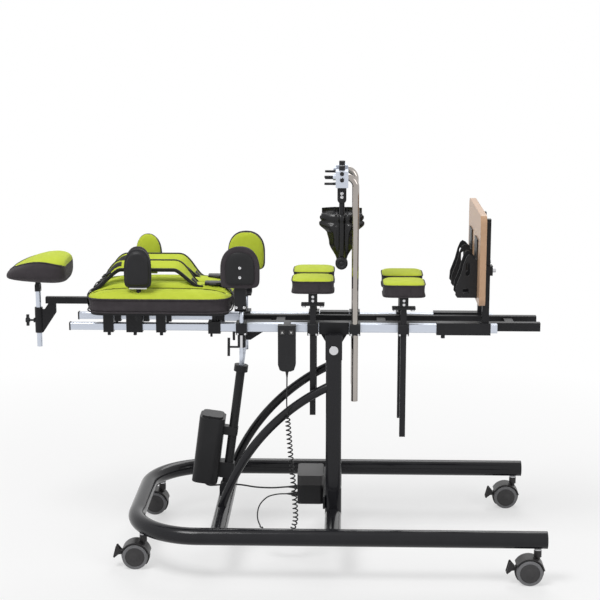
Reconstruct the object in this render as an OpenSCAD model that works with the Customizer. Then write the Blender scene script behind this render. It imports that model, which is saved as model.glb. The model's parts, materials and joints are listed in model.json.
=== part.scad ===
// Motorised supine standing frame, in its lying position.
// +X points to the foot end, +Z up, the floor is Z = 0, and the two sides mirror about Y = 0.

/* [Base] */
// Half the distance between the two floor rails
base_half_w = 330; // [300:1:380]
// Foot end of the floor rails
base_end_x = 788; // [720:1:860]
// Middle of the bow at the head end of the floor rails
base_bow_x = -405; // [-440:1:-370]
// Diameter of the floor rail tube
base_d = 50; // [44:1:56]
// Wall of the floor rail tube
base_wall = 2.5; // [2:0.5:4]
// Radius of the two bends of the bow
bend_r = 200; // [150:1:250]
// Diameter of the two cross tubes
cross_d = 48; // [40:1:50]
// Place of the rear cross tube
rear_cross_x = -150; // [-170:1:-130]

/* [Castors] */
// Diameter of the castor wheels
wheel_d = 75; // [65:1:80]
// Width of one wheel of a twin pair
wheel_w = 18; // [14:1:20]
// Room between the twin wheels
wheel_gap = 16; // [15:1:20]
// How far a wheel trails its stem
castor_trail = 23; // [20:1:26]
// Height of the underside of the floor rail
castor_h = 105; // [101:1:115]
// Place of the castors at the foot end
castor_front_x = 764; // [700:1:764]
// Turn round the bend at which the head end castors stand
castor_rear_turn = 32; // [20:1:45]

/* [Masts] */
// Place of the tilt axis
pivot_x = 180; // [160:1:200]
// Height of the tilt axis
pivot_z = 635; // [610:1:660]
// Middle of a mast, from the centre plane
mast_y = 130; // [130:1:140]
// Width of a mast
mast_w = 46; // [42:1:50]
// Thickness of a mast
mast_t = 30; // [26:1:30]
// Height of a mast over the tilt axis
mast_head = 44; // [40:1:44]
// Radius of the tilt bolt
pivot_r = 8; // [6:0.5:10]
// Diameter of an arched brace
arch_d = 26; // [22:1:28]
// Height at which an arched brace meets its mast
arch_top_z = 518; // [500:1:530]

/* [Tilting rails] */
// Height of the rails over the tilt axis
rail_rise = 53; // [52:1:60]
// Height of every rail
rail_h = 26; // [24:1:28]
// Width of a rail
rail_w = 24; // [22:1:24]
// Middle of a silver rail, from the centre plane
silver_y = 75; // [75:1:78]
// Middle of a black main rail, from the centre plane
main_y = 47.5; // [46:0.5:48]
// Wall of every rail
rail_wall = 2.5; // [2:0.5:3]
// Head end of the main rails
main_head_x = -100; // [-120:1:-90]
// Foot end of the main rails
main_foot_x = 783; // [740:1:783]
// Head end of the silver back rails
back_tube_x = -598; // [-620:1:-590]
// Foot end of the silver leg rails
leg_tube_x = 658; // [656:1:680]
// Wall of the clamps round the rails
clamp_wall = 5; // [4:0.5:6]
// Length of a clamp along its rail
clamp_l = 32; // [30:1:34]
// Middle of the posts that the clamps hold, from the centre plane
post_y = 101; // [101:0.5:102]

/* [Actuator] */
// Height of the lower actuator pin over its cross tube
act_lift = 18; // [16:1:24]
// Place of the upper actuator eye
act_eye_x = -86; // [-92:1:-80]
// Drop of the upper actuator eye under the rails
act_eye_drop = 35; // [33:1:38]
// Outer diameter of the actuator tube
act_tube_d = 27; // [25:0.5:30]
// Radius of the actuator rod
act_rod_r = 8; // [7:0.5:8.5]
// Length of the actuator tube from its lower pin
act_tube_l = 386; // [370:1:400]
// Radius of the lower actuator pin
act_pin_r = 6; // [5:0.5:7]

/* [Back and head] */
// Head end of the back cushion
back_head_x = -546; // [-560:1:-540]
// Foot end of the back cushion
back_foot_x = -117; // [-130:1:-117]
// Half the width of the back cushion
back_half_w = 150; // [145:1:155]
// Height of the underside of the back cushion over the rails
back_lift = 52; // [50:1:56]
// Height of the back cushion up to its seam
back_side_h = 42; // [38:1:46]
// Rise of the back cushion over its seam
back_crown = 24; // [18:1:26]
// Depth of the sewn channels in the back cushion
channel_depth = 5; // [3:0.5:7]
// Thickness of the back board
board_t = 7; // [5:1:9]
// Side of the square headrest bar
bar_side = 20; // [16:1:22]
// Distance of the headrest stem from the back cushion
stem_out = 162; // [155:1:170]
// Radius of the headrest stem
stem_r = 8; // [7:0.5:9]
// Length of the head pad
head_l = 181; // [165:1:181]
// Half the width of the head pad
head_half_w = 100; // [85:1:115]
// Height of the head pad at its thick end
head_h = 90; // [75:1:95]
// Place of the side supports of the chest
chest_x = -389; // [-400:1:-380]
// Place of the chest supports, from the centre plane
chest_y = 132; // [126:1:134]

/* [Hips, legs and knees] */
// Place of the hip posts
hip_x = -91; // [-91:1:-84]
// Radius of the hip posts
hip_post_r = 7; // [6:0.5:8]
// Place of the thigh posts
thigh_x = 118; // [110:1:119]
// Place of the calf posts
calf_x = 383; // [370:1:395]
// Side of the square leg posts
leg_post_side = 17; // [15:1:18]
// Length of a leg pad
leg_pad_l = 124; // [110:1:124]
// Width of a leg pad
leg_pad_w = 116; // [100:1:120]
// Height of a leg pad
leg_pad_h = 46; // [40:1:52]
// Place of the knee arms
knee_x = 241; // [241:1:246]
// Radius of the knee arms
knee_r = 10; // [8:0.5:10]
// Wall of the knee arms, open at their foot
knee_wall = 2; // [1.5:0.5:3]
// Height of the bend of the knee arms over the rails
knee_rise = 418; // [410:1:430]
// Length of the knee arms under the rails
knee_tail = 216; // [205:1:240]

/* [Foot end] */
// Head end of the foot sleeves
sleeve_x = 480; // [474:1:490]
// Length of the foot sleeves
sleeve_l = 158; // [150:1:160]
// Place of the posts of the footboard
foot_post_x = 623; // [618:1:626]
// Side of the posts of the footboard
foot_post_side = 20; // [16:1:20]
// Thickness of the footboard
footboard_t = 18; // [15:1:21]
// Half the width of the footboard
footboard_half_w = 200; // [185:1:215]
// Height of the footboard
footboard_h = 262; // [240:1:270]
// Middle of a sandal, from the centre plane
sandal_y = 92; // [88:1:100]
// Width of a sandal
sandal_w = 78; // [70:1:84]

/* [Handset] */
// Place of the handset
handset_x = 43; // [38:1:50]
// Width of the handset
handset_w = 52; // [46:1:56]
// Length of the handset
handset_l = 141; // [130:1:150]
// Thickness of the handset
handset_t = 25; // [22:1:28]
// Diameter of the handset cord
cord_d = 4; // [3:0.5:4.5]
// Radius of the curls of the handset cord
curl_r = 6.5; // [5.5:0.5:7]
// Number of curls of the handset cord
curls = 40; // [30:1:44]

/* [Clearances] */
// Gap round a pin that turns or slides in a bore
pin_gap = 0.05; // [0.02:0.01:0.1]
// Gap round a piece that slides on a rail
slide_gap = 0.4; // [0.3:0.05:0.5]

/* [Hidden] */
$fn = 48;
eps = 0.01;

base_z = castor_h + base_d / 2;
base_r = base_d / 2;
bend_x = base_bow_x + bend_r;
bend_y = base_half_w - bend_r;
cross_r = cross_d / 2;
cross_top = base_z + cross_r;

wheel_r = wheel_d / 2;
castor_stem_r = 5;
castor_axle_r = 4;
castor_web_t = wheel_gap - 2;
hood_in_r = wheel_r + 2.5;
hood_t = 3.5;
castor_half_w = wheel_gap / 2 + wheel_w;
pedal_x = -hood_in_r - 5;
pedal_z = wheel_r + 8;
pedal_pin_r = 2.5;
castor_rear_x = bend_x - bend_r * cos(castor_rear_turn);
castor_rear_y = bend_y + bend_r * sin(castor_rear_turn);
CASTORS = [
    [castor_front_x, -base_half_w], [castor_front_x, base_half_w],
    [castor_rear_x, -castor_rear_y], [castor_rear_x, castor_rear_y]
];

mast_top = pivot_z + mast_head;
mast_in_y = mast_y - mast_t / 2;
mast_out_y = mast_y + mast_t / 2;
mast_left = pivot_x - mast_w / 2;
mast_edge_r = 13;
mast_sleeve_t = 1.5;
mast_sleeve_h = 80;
mast_head_drop = 30;
arch_r = arch_d / 2;
arch_foot = [rear_cross_x, cross_top];
arch_top = [mast_left, arch_top_z];
arch_swing = 48;

rail_z = pivot_z + rail_rise;
rail_top = rail_z + rail_h / 2;
rail_low = rail_z - rail_h / 2;
silver_out_y = silver_y + rail_w / 2;
silver_in_y = silver_y - rail_w / 2;
main_in_y = main_y - rail_w / 2;
main_out_y = main_y + rail_w / 2;
block_half_l = 44;
block_x0 = pivot_x - block_half_l;
block_x1 = pivot_x + block_half_l;
clamp_half_l = clamp_l / 2;
clamp_out_y = post_y + knee_r + 1.2;
hub_r = pivot_r + 9;
hub_out_y = mast_in_y - 1;
rail_cap_t = 4;
cross_bar_w = 26;
CROSS_BARS = [20, 320, 700];

act_foot = [rear_cross_x, cross_top + act_lift];
act_eye = [act_eye_x, rail_z - act_eye_drop];
act_lean = atan2(act_eye[0] - act_foot[0], act_eye[1] - act_foot[1]);
act_len = norm(act_eye - act_foot);
act_eye_t = 12;
act_lug_t = 6;
act_lug_gap = 2;
act_eye_r = 14;

back_z = rail_z + back_lift;
board_z = back_z - board_t;
back_seam_z = back_z + back_side_h;
back_mid_x = (back_head_x + back_foot_x) / 2;
back_half_l = (back_foot_x - back_head_x) / 2;
// Place and half length of the clamps on the thin back rails, then of the one at the mouth of the wide rail
BACK_CLAMPS = [[back_head_x + 61, 15], [back_head_x + 138, 24], [back_head_x + 216, 14]];
MOUTH_CLAMP = [back_foot_x - 55, 18];
back_mouth_x = back_foot_x - 63;
back_rail_w = rail_w - 2 * rail_wall + 0.5;
back_rail_h = rail_h - 2 * rail_wall + 0.5;
BACK_CHANNELS = [-90, -30, 30, 90];
bar_gap = 0.5;
bar_reach = 121;
stem_x = back_head_x - stem_out;
bar_z = back_z + bar_gap + bar_side / 2;
bar_head_x = stem_x + 23;
bar_foot_x = back_head_x + bar_reach;
stem_top_z = bar_z + 45;
stem_low_z = rail_z - 80;
head_sleeve_r = stem_r + 4;
head_sleeve_z0 = rail_z - 37;
head_sleeve_z1 = rail_z + 40;
head_pin_r = 3;
head_low_z = stem_top_z + 11;
head_x0 = stem_x - 82;
chest_stalk_r = 7;
chest_z = back_seam_z + back_crown + 8;

hip_pad_z = back_seam_z + back_crown + 12;
hip_pad_y = 145;
hip_stub_r = hip_post_r + 5;
hip_lever_z = rail_z - 55;
hip_lever_r = 3;
thigh_pad_z = rail_z + 110;
calf_pad_z = rail_z + 100;
leg_pad_y = 75;
leg_plate_t = 6;
leg_block_h = 32;
thigh_tail = 258;
calf_tail = 323;
knee_bend_r = 30;
knee_bore_l = 120;
knee_block_x = knee_x - 40;
knee_top_z = rail_z + knee_rise + knee_bend_r;
knee_cup_y = 66;
knee_stem_r = 6;
cup_low_z = rail_z + 192;
cup_h = 144;
cup_fold_h = 121;
cup_knob_r = 18;
knee_link_z0 = cup_low_z + cup_h + 32;
knee_link_z1 = knee_top_z - 33;

footboard_x1 = foot_post_x - foot_post_side / 2 - 3;
footboard_x0 = footboard_x1 - footboard_t;
footboard_z0 = rail_z + 89;
foot_clamp_z = footboard_z0 + 85;
sandal_z = footboard_z0 + 13;
sandal_h = 127;
sandal_wall = 3.5;
sandal_deep = 62;
sandal_bolt_r = 4;
sandal_bolt_z = sandal_z + 60;

handset_top_z = rail_z + 18;
handset_low_z = handset_top_z - handset_l;
handset_in_y = clamp_out_y + 2;
handset_out_y = handset_in_y + handset_t;
button_w = 14;
button_proud = 2.5;
button_z = handset_top_z - 20;

box_x1 = mast_left - mast_sleeve_t;
box_l = 84.4;
box_x0 = box_x1 - box_l;
box_half_w = 62;
box_z0 = 137;
box_h = 89;
box_lid_h = 30;
box_plate_t = 6;
plug_r = 7;
plug_l = 18;
plug_z = 160;
handset_plug_y = -36;
motor_plug_y = 30;
motor_half_w = 44;
motor_x0 = -104;
motor_x1 = -27;
motor_z0 = 12;
motor_l = 205;
motor_exit = [motor_x0 + 34, 26, motor_z0];
motor_gland_l = 5;
motor_gland_r = 5;

// Route of the handset cord, from the handset down and back to the control box
CORD_ROUTE = [
    [43, -126, 564.6], [43, -126, 548], [43, -136, 520], [43, -152, 492], [44, -160, 460],
    [47, -162, 420], [51, -164, 370], [55, -166, 320], [60, -168, 270], [64, -170, 220],
    [68, -172, 170], [68, -172, 120], [50, -170, 82], [14, -164, 68], [-22, -154, 80],
    [-44, -138, 112], [-42, -116, 146], [-20, -90, 166], [8, -60, 166], [36, -38, 160.5], [59, -36, 160]
];
// Stretch of the route that is curled, as a share of its points
CURL_SPAN = [0.21, 0.735];
// Route of the motor cable, from under the motor to the control box
MOTOR_ROUTE = [
    [-218.5, 26, 187.6], [-219.2, 26, 183], [-216.3, 27, 172.2], [-208.2, 30, 164.1], [-197, 34, 161.2],
    [-175, 41, 160.5], [-145, 48, 160.5], [-105, 52, 157.5], [-60, 50, 151.5], [-10, 40, 153],
    [36, 30.5, 159.5], [59, 30, 160]
];
motor_cable_d = 5;

// Power that keeps the sign, for rounded outlines
function signed_pow(v, e) = sign(v) * pow(abs(v), e);
// Point on a rounded rectangle of half sizes a and b at turn t
function round_point(a, b, e, t) = [a * signed_pow(cos(t), 2 / e), b * signed_pow(sin(t), 2 / e)];
// Unit vector
function unit(v) = v / norm(v);
// Centre of the circle through three points of a plane
function circle_centre(a, b, c) =
    let (d = 2 * (a[0] * (b[1] - c[1]) + b[0] * (c[1] - a[1]) + c[0] * (a[1] - b[1])))
    let (qa = a * a, qb = b * b, qc = c * c)
    [
        (qa * (b[1] - c[1]) + qb * (c[1] - a[1]) + qc * (a[1] - b[1])) / d,
        (qa * (c[0] - b[0]) + qb * (a[0] - c[0]) + qc * (b[0] - a[0])) / d
    ];
// Point on a smooth curve through a list of points, at share u
function curve_point(list, u) =
    let (last = len(list) - 1, s = min(max(u, 0), 1) * last, i = min(floor(s), last - 1), t = s - i)
    let (p1 = list[i], p2 = list[i + 1])
    let (p0 = i > 0 ? list[i - 1] : 2 * p1 - p2, p3 = i + 2 <= last ? list[i + 2] : 2 * p2 - p1)
    0.5 * (2 * p1 + (p2 - p0) * t + (2 * p0 - 5 * p1 + 4 * p2 - p3) * t * t
        + (3 * p1 - p0 - 3 * p2 + p3) * t * t * t);
// Rise from 0 to 1 over a short stretch
function ease(t) = let (c = min(max(t, 0), 1)) c * c * (3 - 2 * c);

// Solid between rings of points, closed by a fan at each end, or by a strip where the ring is a thin band
module skin(rings, tip0, tip1, strip = false) {
    n = len(rings[0]);
    m = len(rings);
    half = n / 2 - 1;
    points = concat([for (ring = rings) each ring], strip ? [] : [tip0, tip1]);
    sides = [
        for (j = [0 : m - 2], i = [0 : n - 1])
            let (k = (i + 1) % n)
            each [
                [j * n + i, (j + 1) * n + i, (j + 1) * n + k],
                [j * n + i, (j + 1) * n + k, j * n + k]
            ]
    ];
    fan0 = [for (i = [0 : n - 1]) [m * n, i, (i + 1) % n]];
    fan1 = [for (i = [0 : n - 1]) [m * n + 1, (m - 1) * n + (i + 1) % n, (m - 1) * n + i]];
    strip0 = [for (i = [0 : half - 1]) each [[i, i + 1, n - 2 - i], [i, n - 2 - i, n - 1 - i]]];
    strip1 = [for (f = strip0) (m - 1) * n * [1, 1, 1] + [f[0], f[2], f[1]]];
    cap0 = strip ? strip0 : fan0;
    cap1 = strip ? strip1 : fan1;
    polyhedron(points = points, faces = concat(sides, cap0, cap1), convexity = 6);
}

// Part of a direction that is square to a tangent
function square_to(t, v) = unit(v - (v * t) * t);

// Tube along a list of centre points, whose rings don't twist about its line
module tube_along(centres, start_side, d, sides) {
    last = len(centres) - 1;
    ahead = [for (i = [0 : last]) unit(centres[min(i + 1, last)] - centres[max(i - 1, 0)])];
    across = [
        for (
            i = 0, a = square_to(ahead[0], start_side);
            i <= last;
            i = i + 1, a = square_to(ahead[min(i, last)], a)
        ) a
    ];
    rings = [
        for (i = [0 : last])
            let (a = across[i], b = cross(ahead[i], a))
            [for (k = [0 : sides - 1])
                let (turn = 360 * k / sides)
                centres[i] + d / 2 * (cos(turn) * a + sin(turn) * b)]
    ];
    skin(rings, centres[0], centres[last]);
}

// Padded block with drawn-in sides and a crowned top, seat at Z = 0
module pad_block(half_l, half_w, h, crown, e = 6, seg = 24) {
    draw = 2.5;
    side = h - crown;
    levels = [
        [0, 0.96], [side * 0.12, 1], [side * 0.5, 1 - draw / half_w], [side * 0.9, 1], [side, 0.99],
        [side + crown * 0.55, 0.9], [side + crown * 0.85, 0.68], [side + crown * 0.97, 0.36]
    ];
    rings = [
        for (level = levels)
            [for (i = [0 : seg - 1])
                let (p = round_point(half_l * level[1], half_w * level[1], e, 360 * i / seg))
                [p[0], p[1], level[0]]]
    ];
    skin(rings, [0, 0, 0], [0, 0, h]);
}

// Upright shield with a round top, from Y = 0 to Y = t, bulging to +Y, foot at Z = 0
module shield(half_w, h, t, bulge, seg = 24) {
    top_e = 2.3;
    foot_e = 6;
    mid = h * 0.45;
    levels = [
        [0, 0.94], [t * 0.2, 1], [t * 0.75, 1], [t, 0.95],
        [t + bulge * 0.6, 0.8], [t + bulge * 0.93, 0.45]
    ];
    rings = [
        for (level = levels)
            [for (i = [0 : seg - 1])
                let (turn = 360 * i / seg, up = cos(turn) > 0)
                let (p = round_point(up ? h - mid : mid, half_w, up ? top_e : foot_e, turn))
                [p[1] * level[1], level[0], mid + p[0] * level[1]]]
    ];
    skin(rings, [0, 0, mid], [0, t + bulge, mid]);
}

// Rectangle with round corners
module round_rect(w, h, r) {
    square([w - 2 * r, h], center = true);
    square([w, h - 2 * r], center = true);
    for (x = [-1, 1], y = [-1, 1]) translate([x * (w / 2 - r), y * (h / 2 - r)]) circle(r);
}

// Solid bar along X from x0 to x1, with round edges
module bar_x(x0, x1, y, z, w, h, r) {
    translate([x0, y, z]) rotate([90, 0, 90]) linear_extrude(x1 - x0) round_rect(w, h, r);
}

// Hollow rail along X from x0 to x1
module rail_x(x0, x1, y, w = rail_w, h = rail_h, wall = rail_wall) {
    difference() {
        bar_x(x0, x1, y, rail_z, w, h, 3);
        bar_x(x0 - 1, x1 + 1, y, rail_z, w - 2 * wall, h - 2 * wall, 1.5);
    }
}

// Space that a rail takes up, with a gap all round
module rail_room(x0, x1, y, gap, w = rail_w, h = rail_h) {
    bar_x(x0, x1, y, rail_z, w + 2 * gap, h + 2 * gap, 3 + gap);
}

// Cylinder along X, Y or Z between two places
module rod_x(x0, x1, y, z, r) {
    translate([x0, y, z]) rotate([0, 90, 0]) cylinder(r = r, h = x1 - x0);
}

module rod_y(x, y0, y1, z, r) {
    translate([x, y0, z]) rotate([-90, 0, 0]) cylinder(r = r, h = y1 - y0);
}

module rod_z(x, y, z0, z1, r) {
    translate([x, y, z0]) cylinder(r = r, h = z1 - z0);
}

// Box between two corners
module block(a, b) {
    translate(a) cube(b - a);
}

// Plate that stands in the XZ plane, from y0 to y1
module plate_xz(points, y0, y1) {
    translate([0, y1, 0]) rotate([90, 0, 0]) linear_extrude(y1 - y0) polygon(points);
}

// The same piece on both sides, and on the near side only
module both_sides() {
    children();
    mirror([0, 1, 0]) children();
}

module near_side() {
    mirror([0, 1, 0]) children();
}

// Path of the floor rail with a round section, its open ends run on by extra
module floor_path(r, extra) {
    both_sides() {
        rod_x(bend_x, base_end_x + extra, base_half_w, base_z, r);
        translate([bend_x, bend_y, base_z]) rotate([0, 0, 90]) rotate_extrude(angle = 90)
            translate([bend_r, 0]) circle(r);
    }
    rod_y(base_bow_x, -bend_y, bend_y, base_z, r);
}

module base_tube() {
    color("#17171a") difference() {
        floor_path(base_r, 0);
        floor_path(base_r - base_wall, 1);
    }
}

// End caps, castor stems and the two tilt bolts
module base_fittings() {
    cap_t = 2;
    plug_depth = 16;
    flange_t = 4;
    head_r = 13;
    head_t = 5;
    color("#202022") {
        both_sides() {
            rod_x(base_end_x, base_end_x + cap_t, base_half_w, base_z, base_r);
            rod_x(base_end_x - plug_depth, base_end_x + eps, base_half_w, base_z, base_r - base_wall);
        }
        difference() {
            for (place = CASTORS) {
                rod_z(place[0], place[1], castor_h - flange_t, castor_h + 4, 11);
                rod_z(place[0], place[1], castor_h - 30, castor_h, castor_stem_r);
            }
            floor_path(base_r, 0);
        }
        both_sides() {
            rod_y(pivot_x, silver_in_y + 4, mast_out_y, pivot_z, pivot_r);
            rod_y(pivot_x, mast_out_y, mast_out_y + head_t, pivot_z, head_r);
        }
    }
}

module cross_tubes() {
    color("#1a1a1c") for (x = [pivot_x, rear_cross_x]) difference() {
        rod_y(x, -base_half_w, base_half_w, base_z, cross_r);
        rod_y(x, -base_half_w - base_r, base_half_w + base_r, base_z, cross_r - base_wall);
        both_sides() rod_x(x - base_d, x + base_d, base_half_w, base_z, base_r);
    }
}

// Oval tube of a mast with its foot sleeve and square head, as one solid
module mast_body() {
    translate([pivot_x, mast_y, base_z]) linear_extrude(mast_top - base_z - eps)
        round_rect(mast_w, mast_t, mast_edge_r);
    translate([pivot_x, mast_y, base_z]) linear_extrude(mast_sleeve_h)
        round_rect(mast_w + 2 * mast_sleeve_t, mast_t + 2 * mast_sleeve_t, mast_edge_r + mast_sleeve_t);
    translate([pivot_x, mast_y, pivot_z - mast_head_drop]) linear_extrude(mast_head + mast_head_drop)
        round_rect(mast_w + 2 * mast_sleeve_t, mast_t, 4);
}

module masts() {
    wall = 4;
    head_l = 80;
    color("#161618") both_sides() difference() {
        mast_body();
        translate([pivot_x, mast_y, base_z - 1]) linear_extrude(mast_top - base_z - head_l)
            round_rect(mast_w - 2 * wall, mast_t - 2 * wall, mast_edge_r - wall);
        rod_y(pivot_x, mast_y - mast_t, mast_y + mast_t, base_z, cross_r);
        rod_y(pivot_x, mast_y - mast_t, mast_y + mast_t, pivot_z, pivot_r);
    }
}

// Brace that arches from the rear cross tube up to the mast
module arch_braces() {
    middle = (arch_foot + arch_top) / 2;
    chord = arch_top - arch_foot;
    bulge = [-chord[1], chord[0]] / norm(chord) * arch_swing;
    centre = circle_centre(arch_foot, middle + bulge, arch_top);
    radius = norm(arch_top - centre);
    from_turn = atan2(arch_top[1] - centre[1], arch_top[0] - centre[0]);
    to_turn = atan2(arch_foot[1] - centre[1], arch_foot[0] - centre[0]);
    run_on = 1.6;
    color("#18181a") both_sides() difference() {
        translate([centre[0], mast_y, centre[1]]) rotate([90, 0, 0]) rotate([0, 0, from_turn - run_on])
            rotate_extrude(angle = to_turn - from_turn + 2 * run_on, $fn = 96)
                translate([radius, 0]) circle(arch_r, $fn = 32);
        rod_y(rear_cross_x, 0, base_half_w, base_z, cross_r);
        mast_body();
    }
}

// Clevis on the rear cross tube, with the lower actuator pin
module actuator_foot() {
    lug_r = 18;
    y0 = act_tube_d / 2 + 0.5;
    y1 = y0 + act_lug_t;
    color("#1c1c1e") {
        both_sides() difference() {
            union() {
                rod_y(act_foot[0], y0, y1, act_foot[1], lug_r);
                block([act_foot[0] - lug_r, y0, base_z], [act_foot[0] + lug_r, y1, act_foot[1]]);
            }
            rod_y(rear_cross_x, 0, base_half_w, base_z, cross_r);
            rod_y(act_foot[0], 0, y1 + 1, act_foot[1], act_pin_r);
        }
        rod_y(act_foot[0], -y1 - 3, y1 + 3, act_foot[1], act_pin_r);
    }
}

// Mains box held between the masts, with its two sockets
module control_box() {
    r = 10;
    color("#1b1b1d") {
        translate([box_x0 + box_l / 2 - box_plate_t / 2, 0, box_z0]) linear_extrude(box_h - box_lid_h)
            round_rect(box_l - box_plate_t, 2 * box_half_w, r);
        block([box_x1 - box_plate_t, -mast_out_y, box_z0 + 14], [box_x1, mast_out_y, box_z0 + 52]);
        for (y = [handset_plug_y, motor_plug_y]) rod_x(box_x0 - plug_l + 6, box_x0 + 2, y, plug_z, plug_r);
    }
}

module control_box_lid() {
    r = 10;
    color("#3a3a3d") translate([box_x0 + box_l / 2 - box_plate_t / 2, 0, box_z0 + box_h - box_lid_h])
        linear_extrude(box_lid_h) round_rect(box_l - box_plate_t, 2 * box_half_w, r);
}

// Moves a castor piece, drawn with its wheel centre over X = 0, to its place
module at_castor(i) {
    translate([CASTORS[i][0] - castor_trail, CASTORS[i][1], 0]) children();
}

// Web between the wheels, cover over them, axle and the housing of the stem
module castor_hood(i) {
    cover_from = 12;
    cover_turn = 140;
    boss_r = castor_web_t / 2;
    neck_z = wheel_r + hood_in_r + 3;
    boss_top = castor_h - 4 - slide_gap;
    color("#56524e") at_castor(i) difference() {
        union() {
            rod_y(0, -castor_web_t / 2, castor_web_t / 2, wheel_r, hood_in_r + hood_t / 2);
            translate([0, castor_half_w, wheel_r]) rotate([90, 0, 0]) linear_extrude(2 * castor_half_w)
                intersection() {
                    difference() {
                        circle(hood_in_r + hood_t);
                        circle(hood_in_r);
                    }
                    polygon([for (t = [0 : 10]) 3 * hood_in_r * [cos(cover_from + cover_turn * t / 10),
                        sin(cover_from + cover_turn * t / 10)], [0, 0]]);
                }
            rod_z(castor_trail, 0, wheel_r, boss_top, boss_r);
            rod_z(castor_trail, 0, neck_z, boss_top, boss_r + 4);
            block([pedal_x, -castor_web_t / 2, pedal_z - 5], [0, castor_web_t / 2, pedal_z + 5]);
            rod_y(pedal_x, -castor_web_t / 2, castor_web_t / 2, pedal_z, 5);
            rod_y(pedal_x, -castor_web_t / 2 - 5, castor_web_t / 2 + 5, pedal_z, pedal_pin_r);
            rod_y(0, -castor_half_w - 1, castor_half_w + 1, wheel_r, castor_axle_r);
        }
        rod_z(castor_trail, 0, castor_h - 31, castor_h, castor_stem_r + pin_gap);
        block([-wheel_d, -wheel_w, -wheel_r], [wheel_d, wheel_w, 10]);
    }
}

// Twin wheels with a hub and a round tread
module castor_wheels(i) {
    tread_r = 3;
    hub_r = wheel_r - 9;
    dish = 2;
    color("#8d9094") at_castor(i) for (side = [-1, 1])
        translate([0, side * (wheel_gap + wheel_w) / 2, wheel_r]) rotate([-90 * side, 0, 0]) rotate_extrude()
            difference() {
                translate([wheel_r / 2, 0]) round_rect(wheel_r, wheel_w, tread_r);
                translate([-1, -wheel_w]) square([castor_axle_r + pin_gap + 1, 2 * wheel_w]);
                translate([castor_axle_r + 6, wheel_w / 2 - dish])
                    square([hub_r - castor_axle_r - 6, dish + 1]);
                translate([-tread_r, -wheel_w / 2]) square([2 * tread_r, wheel_w]);
            }
}

// Brake pedal on two ears, with its toe plate
module brake_pedal(i) {
    ear_t = 3.5;
    ear_y = castor_web_t / 2 + slide_gap;
    toe = [pedal_x - 21, pedal_z - 12];
    color("#6b665f") at_castor(i) difference() {
        union() {
            both_sides() plate_xz([
                [pedal_x - 5, pedal_z - 5], [pedal_x + 4, pedal_z - 4], [pedal_x + 4, pedal_z + 5],
                [pedal_x - 9, pedal_z + 21], [pedal_x - 13, pedal_z + 19], toe, [toe[0] + 3, toe[1] - 4]
            ], ear_y, ear_y + ear_t);
            plate_xz([
                [pedal_x - 9, pedal_z - 1], [pedal_x - 9, pedal_z - 5], [toe[0] + 3, toe[1] - 4], toe
            ], -ear_y - ear_t, ear_y + ear_t);
        }
        rod_y(pedal_x, -ear_y - 9, ear_y + 9, pedal_z, pedal_pin_r + pin_gap);
    }
}

// Moves a piece drawn along Z from the lower actuator pin to its place
module along_actuator() {
    translate([act_foot[0], 0, act_foot[1]]) rotate([0, act_lean, 0]) children();
}

// Tube, collar, lower eye and motor housing, which turn as one
module actuator_body() {
    collar_r = 21;
    collar_l = 20;
    bore_z = 20;
    eye_half_t = 12;
    gear_z0 = 30;
    gear_z1 = 78;
    color("#1d1d1f") along_actuator() difference() {
        union() {
            rod_z(0, 0, 0, act_tube_l, act_tube_d / 2);
            rod_z(0, 0, act_tube_l - collar_l, act_tube_l, collar_r);
            rod_y(0, -eye_half_t, eye_half_t, 0, 15);
            translate([(motor_x0 + motor_x1) / 2, 0, motor_z0]) linear_extrude(motor_l)
                round_rect(motor_x1 - motor_x0, 2 * motor_half_w, 20);
            translate([(motor_x0 + motor_x1) / 2, 0, motor_z0 + motor_l - eps]) linear_extrude(6)
                round_rect(motor_x1 - motor_x0 - 14, 2 * motor_half_w - 14, 14);
            translate([motor_x1 / 2, 0, gear_z0]) linear_extrude(gear_z1 - gear_z0)
                round_rect(-motor_x1 + 36, 34, 8);
            translate([motor_x1 / 2, 0, motor_l - 40]) linear_extrude(26) round_rect(-motor_x1 + 30, 30, 8);
            rod_z(motor_exit[0], motor_exit[1], motor_z0 - motor_gland_l, motor_z0 + 1, motor_gland_r);
        }
        rod_z(0, 0, bore_z, act_tube_l - collar_l, act_rod_r + 1.5);
        rod_z(0, 0, bore_z, act_tube_l + 1, act_rod_r + pin_gap);
        rod_y(0, -act_tube_d, act_tube_d, 0, act_pin_r + pin_gap);
    }
}

module actuator_rod() {
    color("#b9bcc0") along_actuator() difference() {
        union() {
            rod_z(0, 0, 28, act_len, act_rod_r - eps);
            rod_y(0, -act_eye_t / 2, act_eye_t / 2, act_len, act_eye_r);
        }
        rod_y(0, -act_eye_t, act_eye_t, act_len, act_pin_r);
        for (side = [-1, 1]) block(
            [-act_eye_r, side * (act_eye_t / 2 + act_eye_r) - act_eye_r, act_len - act_eye_r - 4],
            [act_eye_r, side * (act_eye_t / 2 + act_eye_r) + act_eye_r, act_len + act_eye_r]
        );
    }
}

// Two long main rails joined by cross bars
module main_frame() {
    color("#1e1e20") {
        both_sides() rail_x(main_head_x, main_foot_x, main_y);
        for (x = CROSS_BARS)
            block(
                [x - cross_bar_w / 2, -main_in_y, rail_z - 8],
                [x + cross_bar_w / 2, main_in_y, rail_z + 8]
            );
    }
}

module rail_caps() {
    color("#111112") both_sides() {
        bar_x(main_foot_x, main_foot_x + rail_cap_t, main_y, rail_z, rail_w, rail_h, 3);
        bar_x(main_head_x - rail_cap_t, main_head_x, main_y, rail_z, rail_w, rail_h, 3);
        bar_x(back_tube_x - rail_cap_t, back_tube_x, silver_y, rail_z, back_rail_w + 2, back_rail_h + 2, 3);
    }
}

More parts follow.
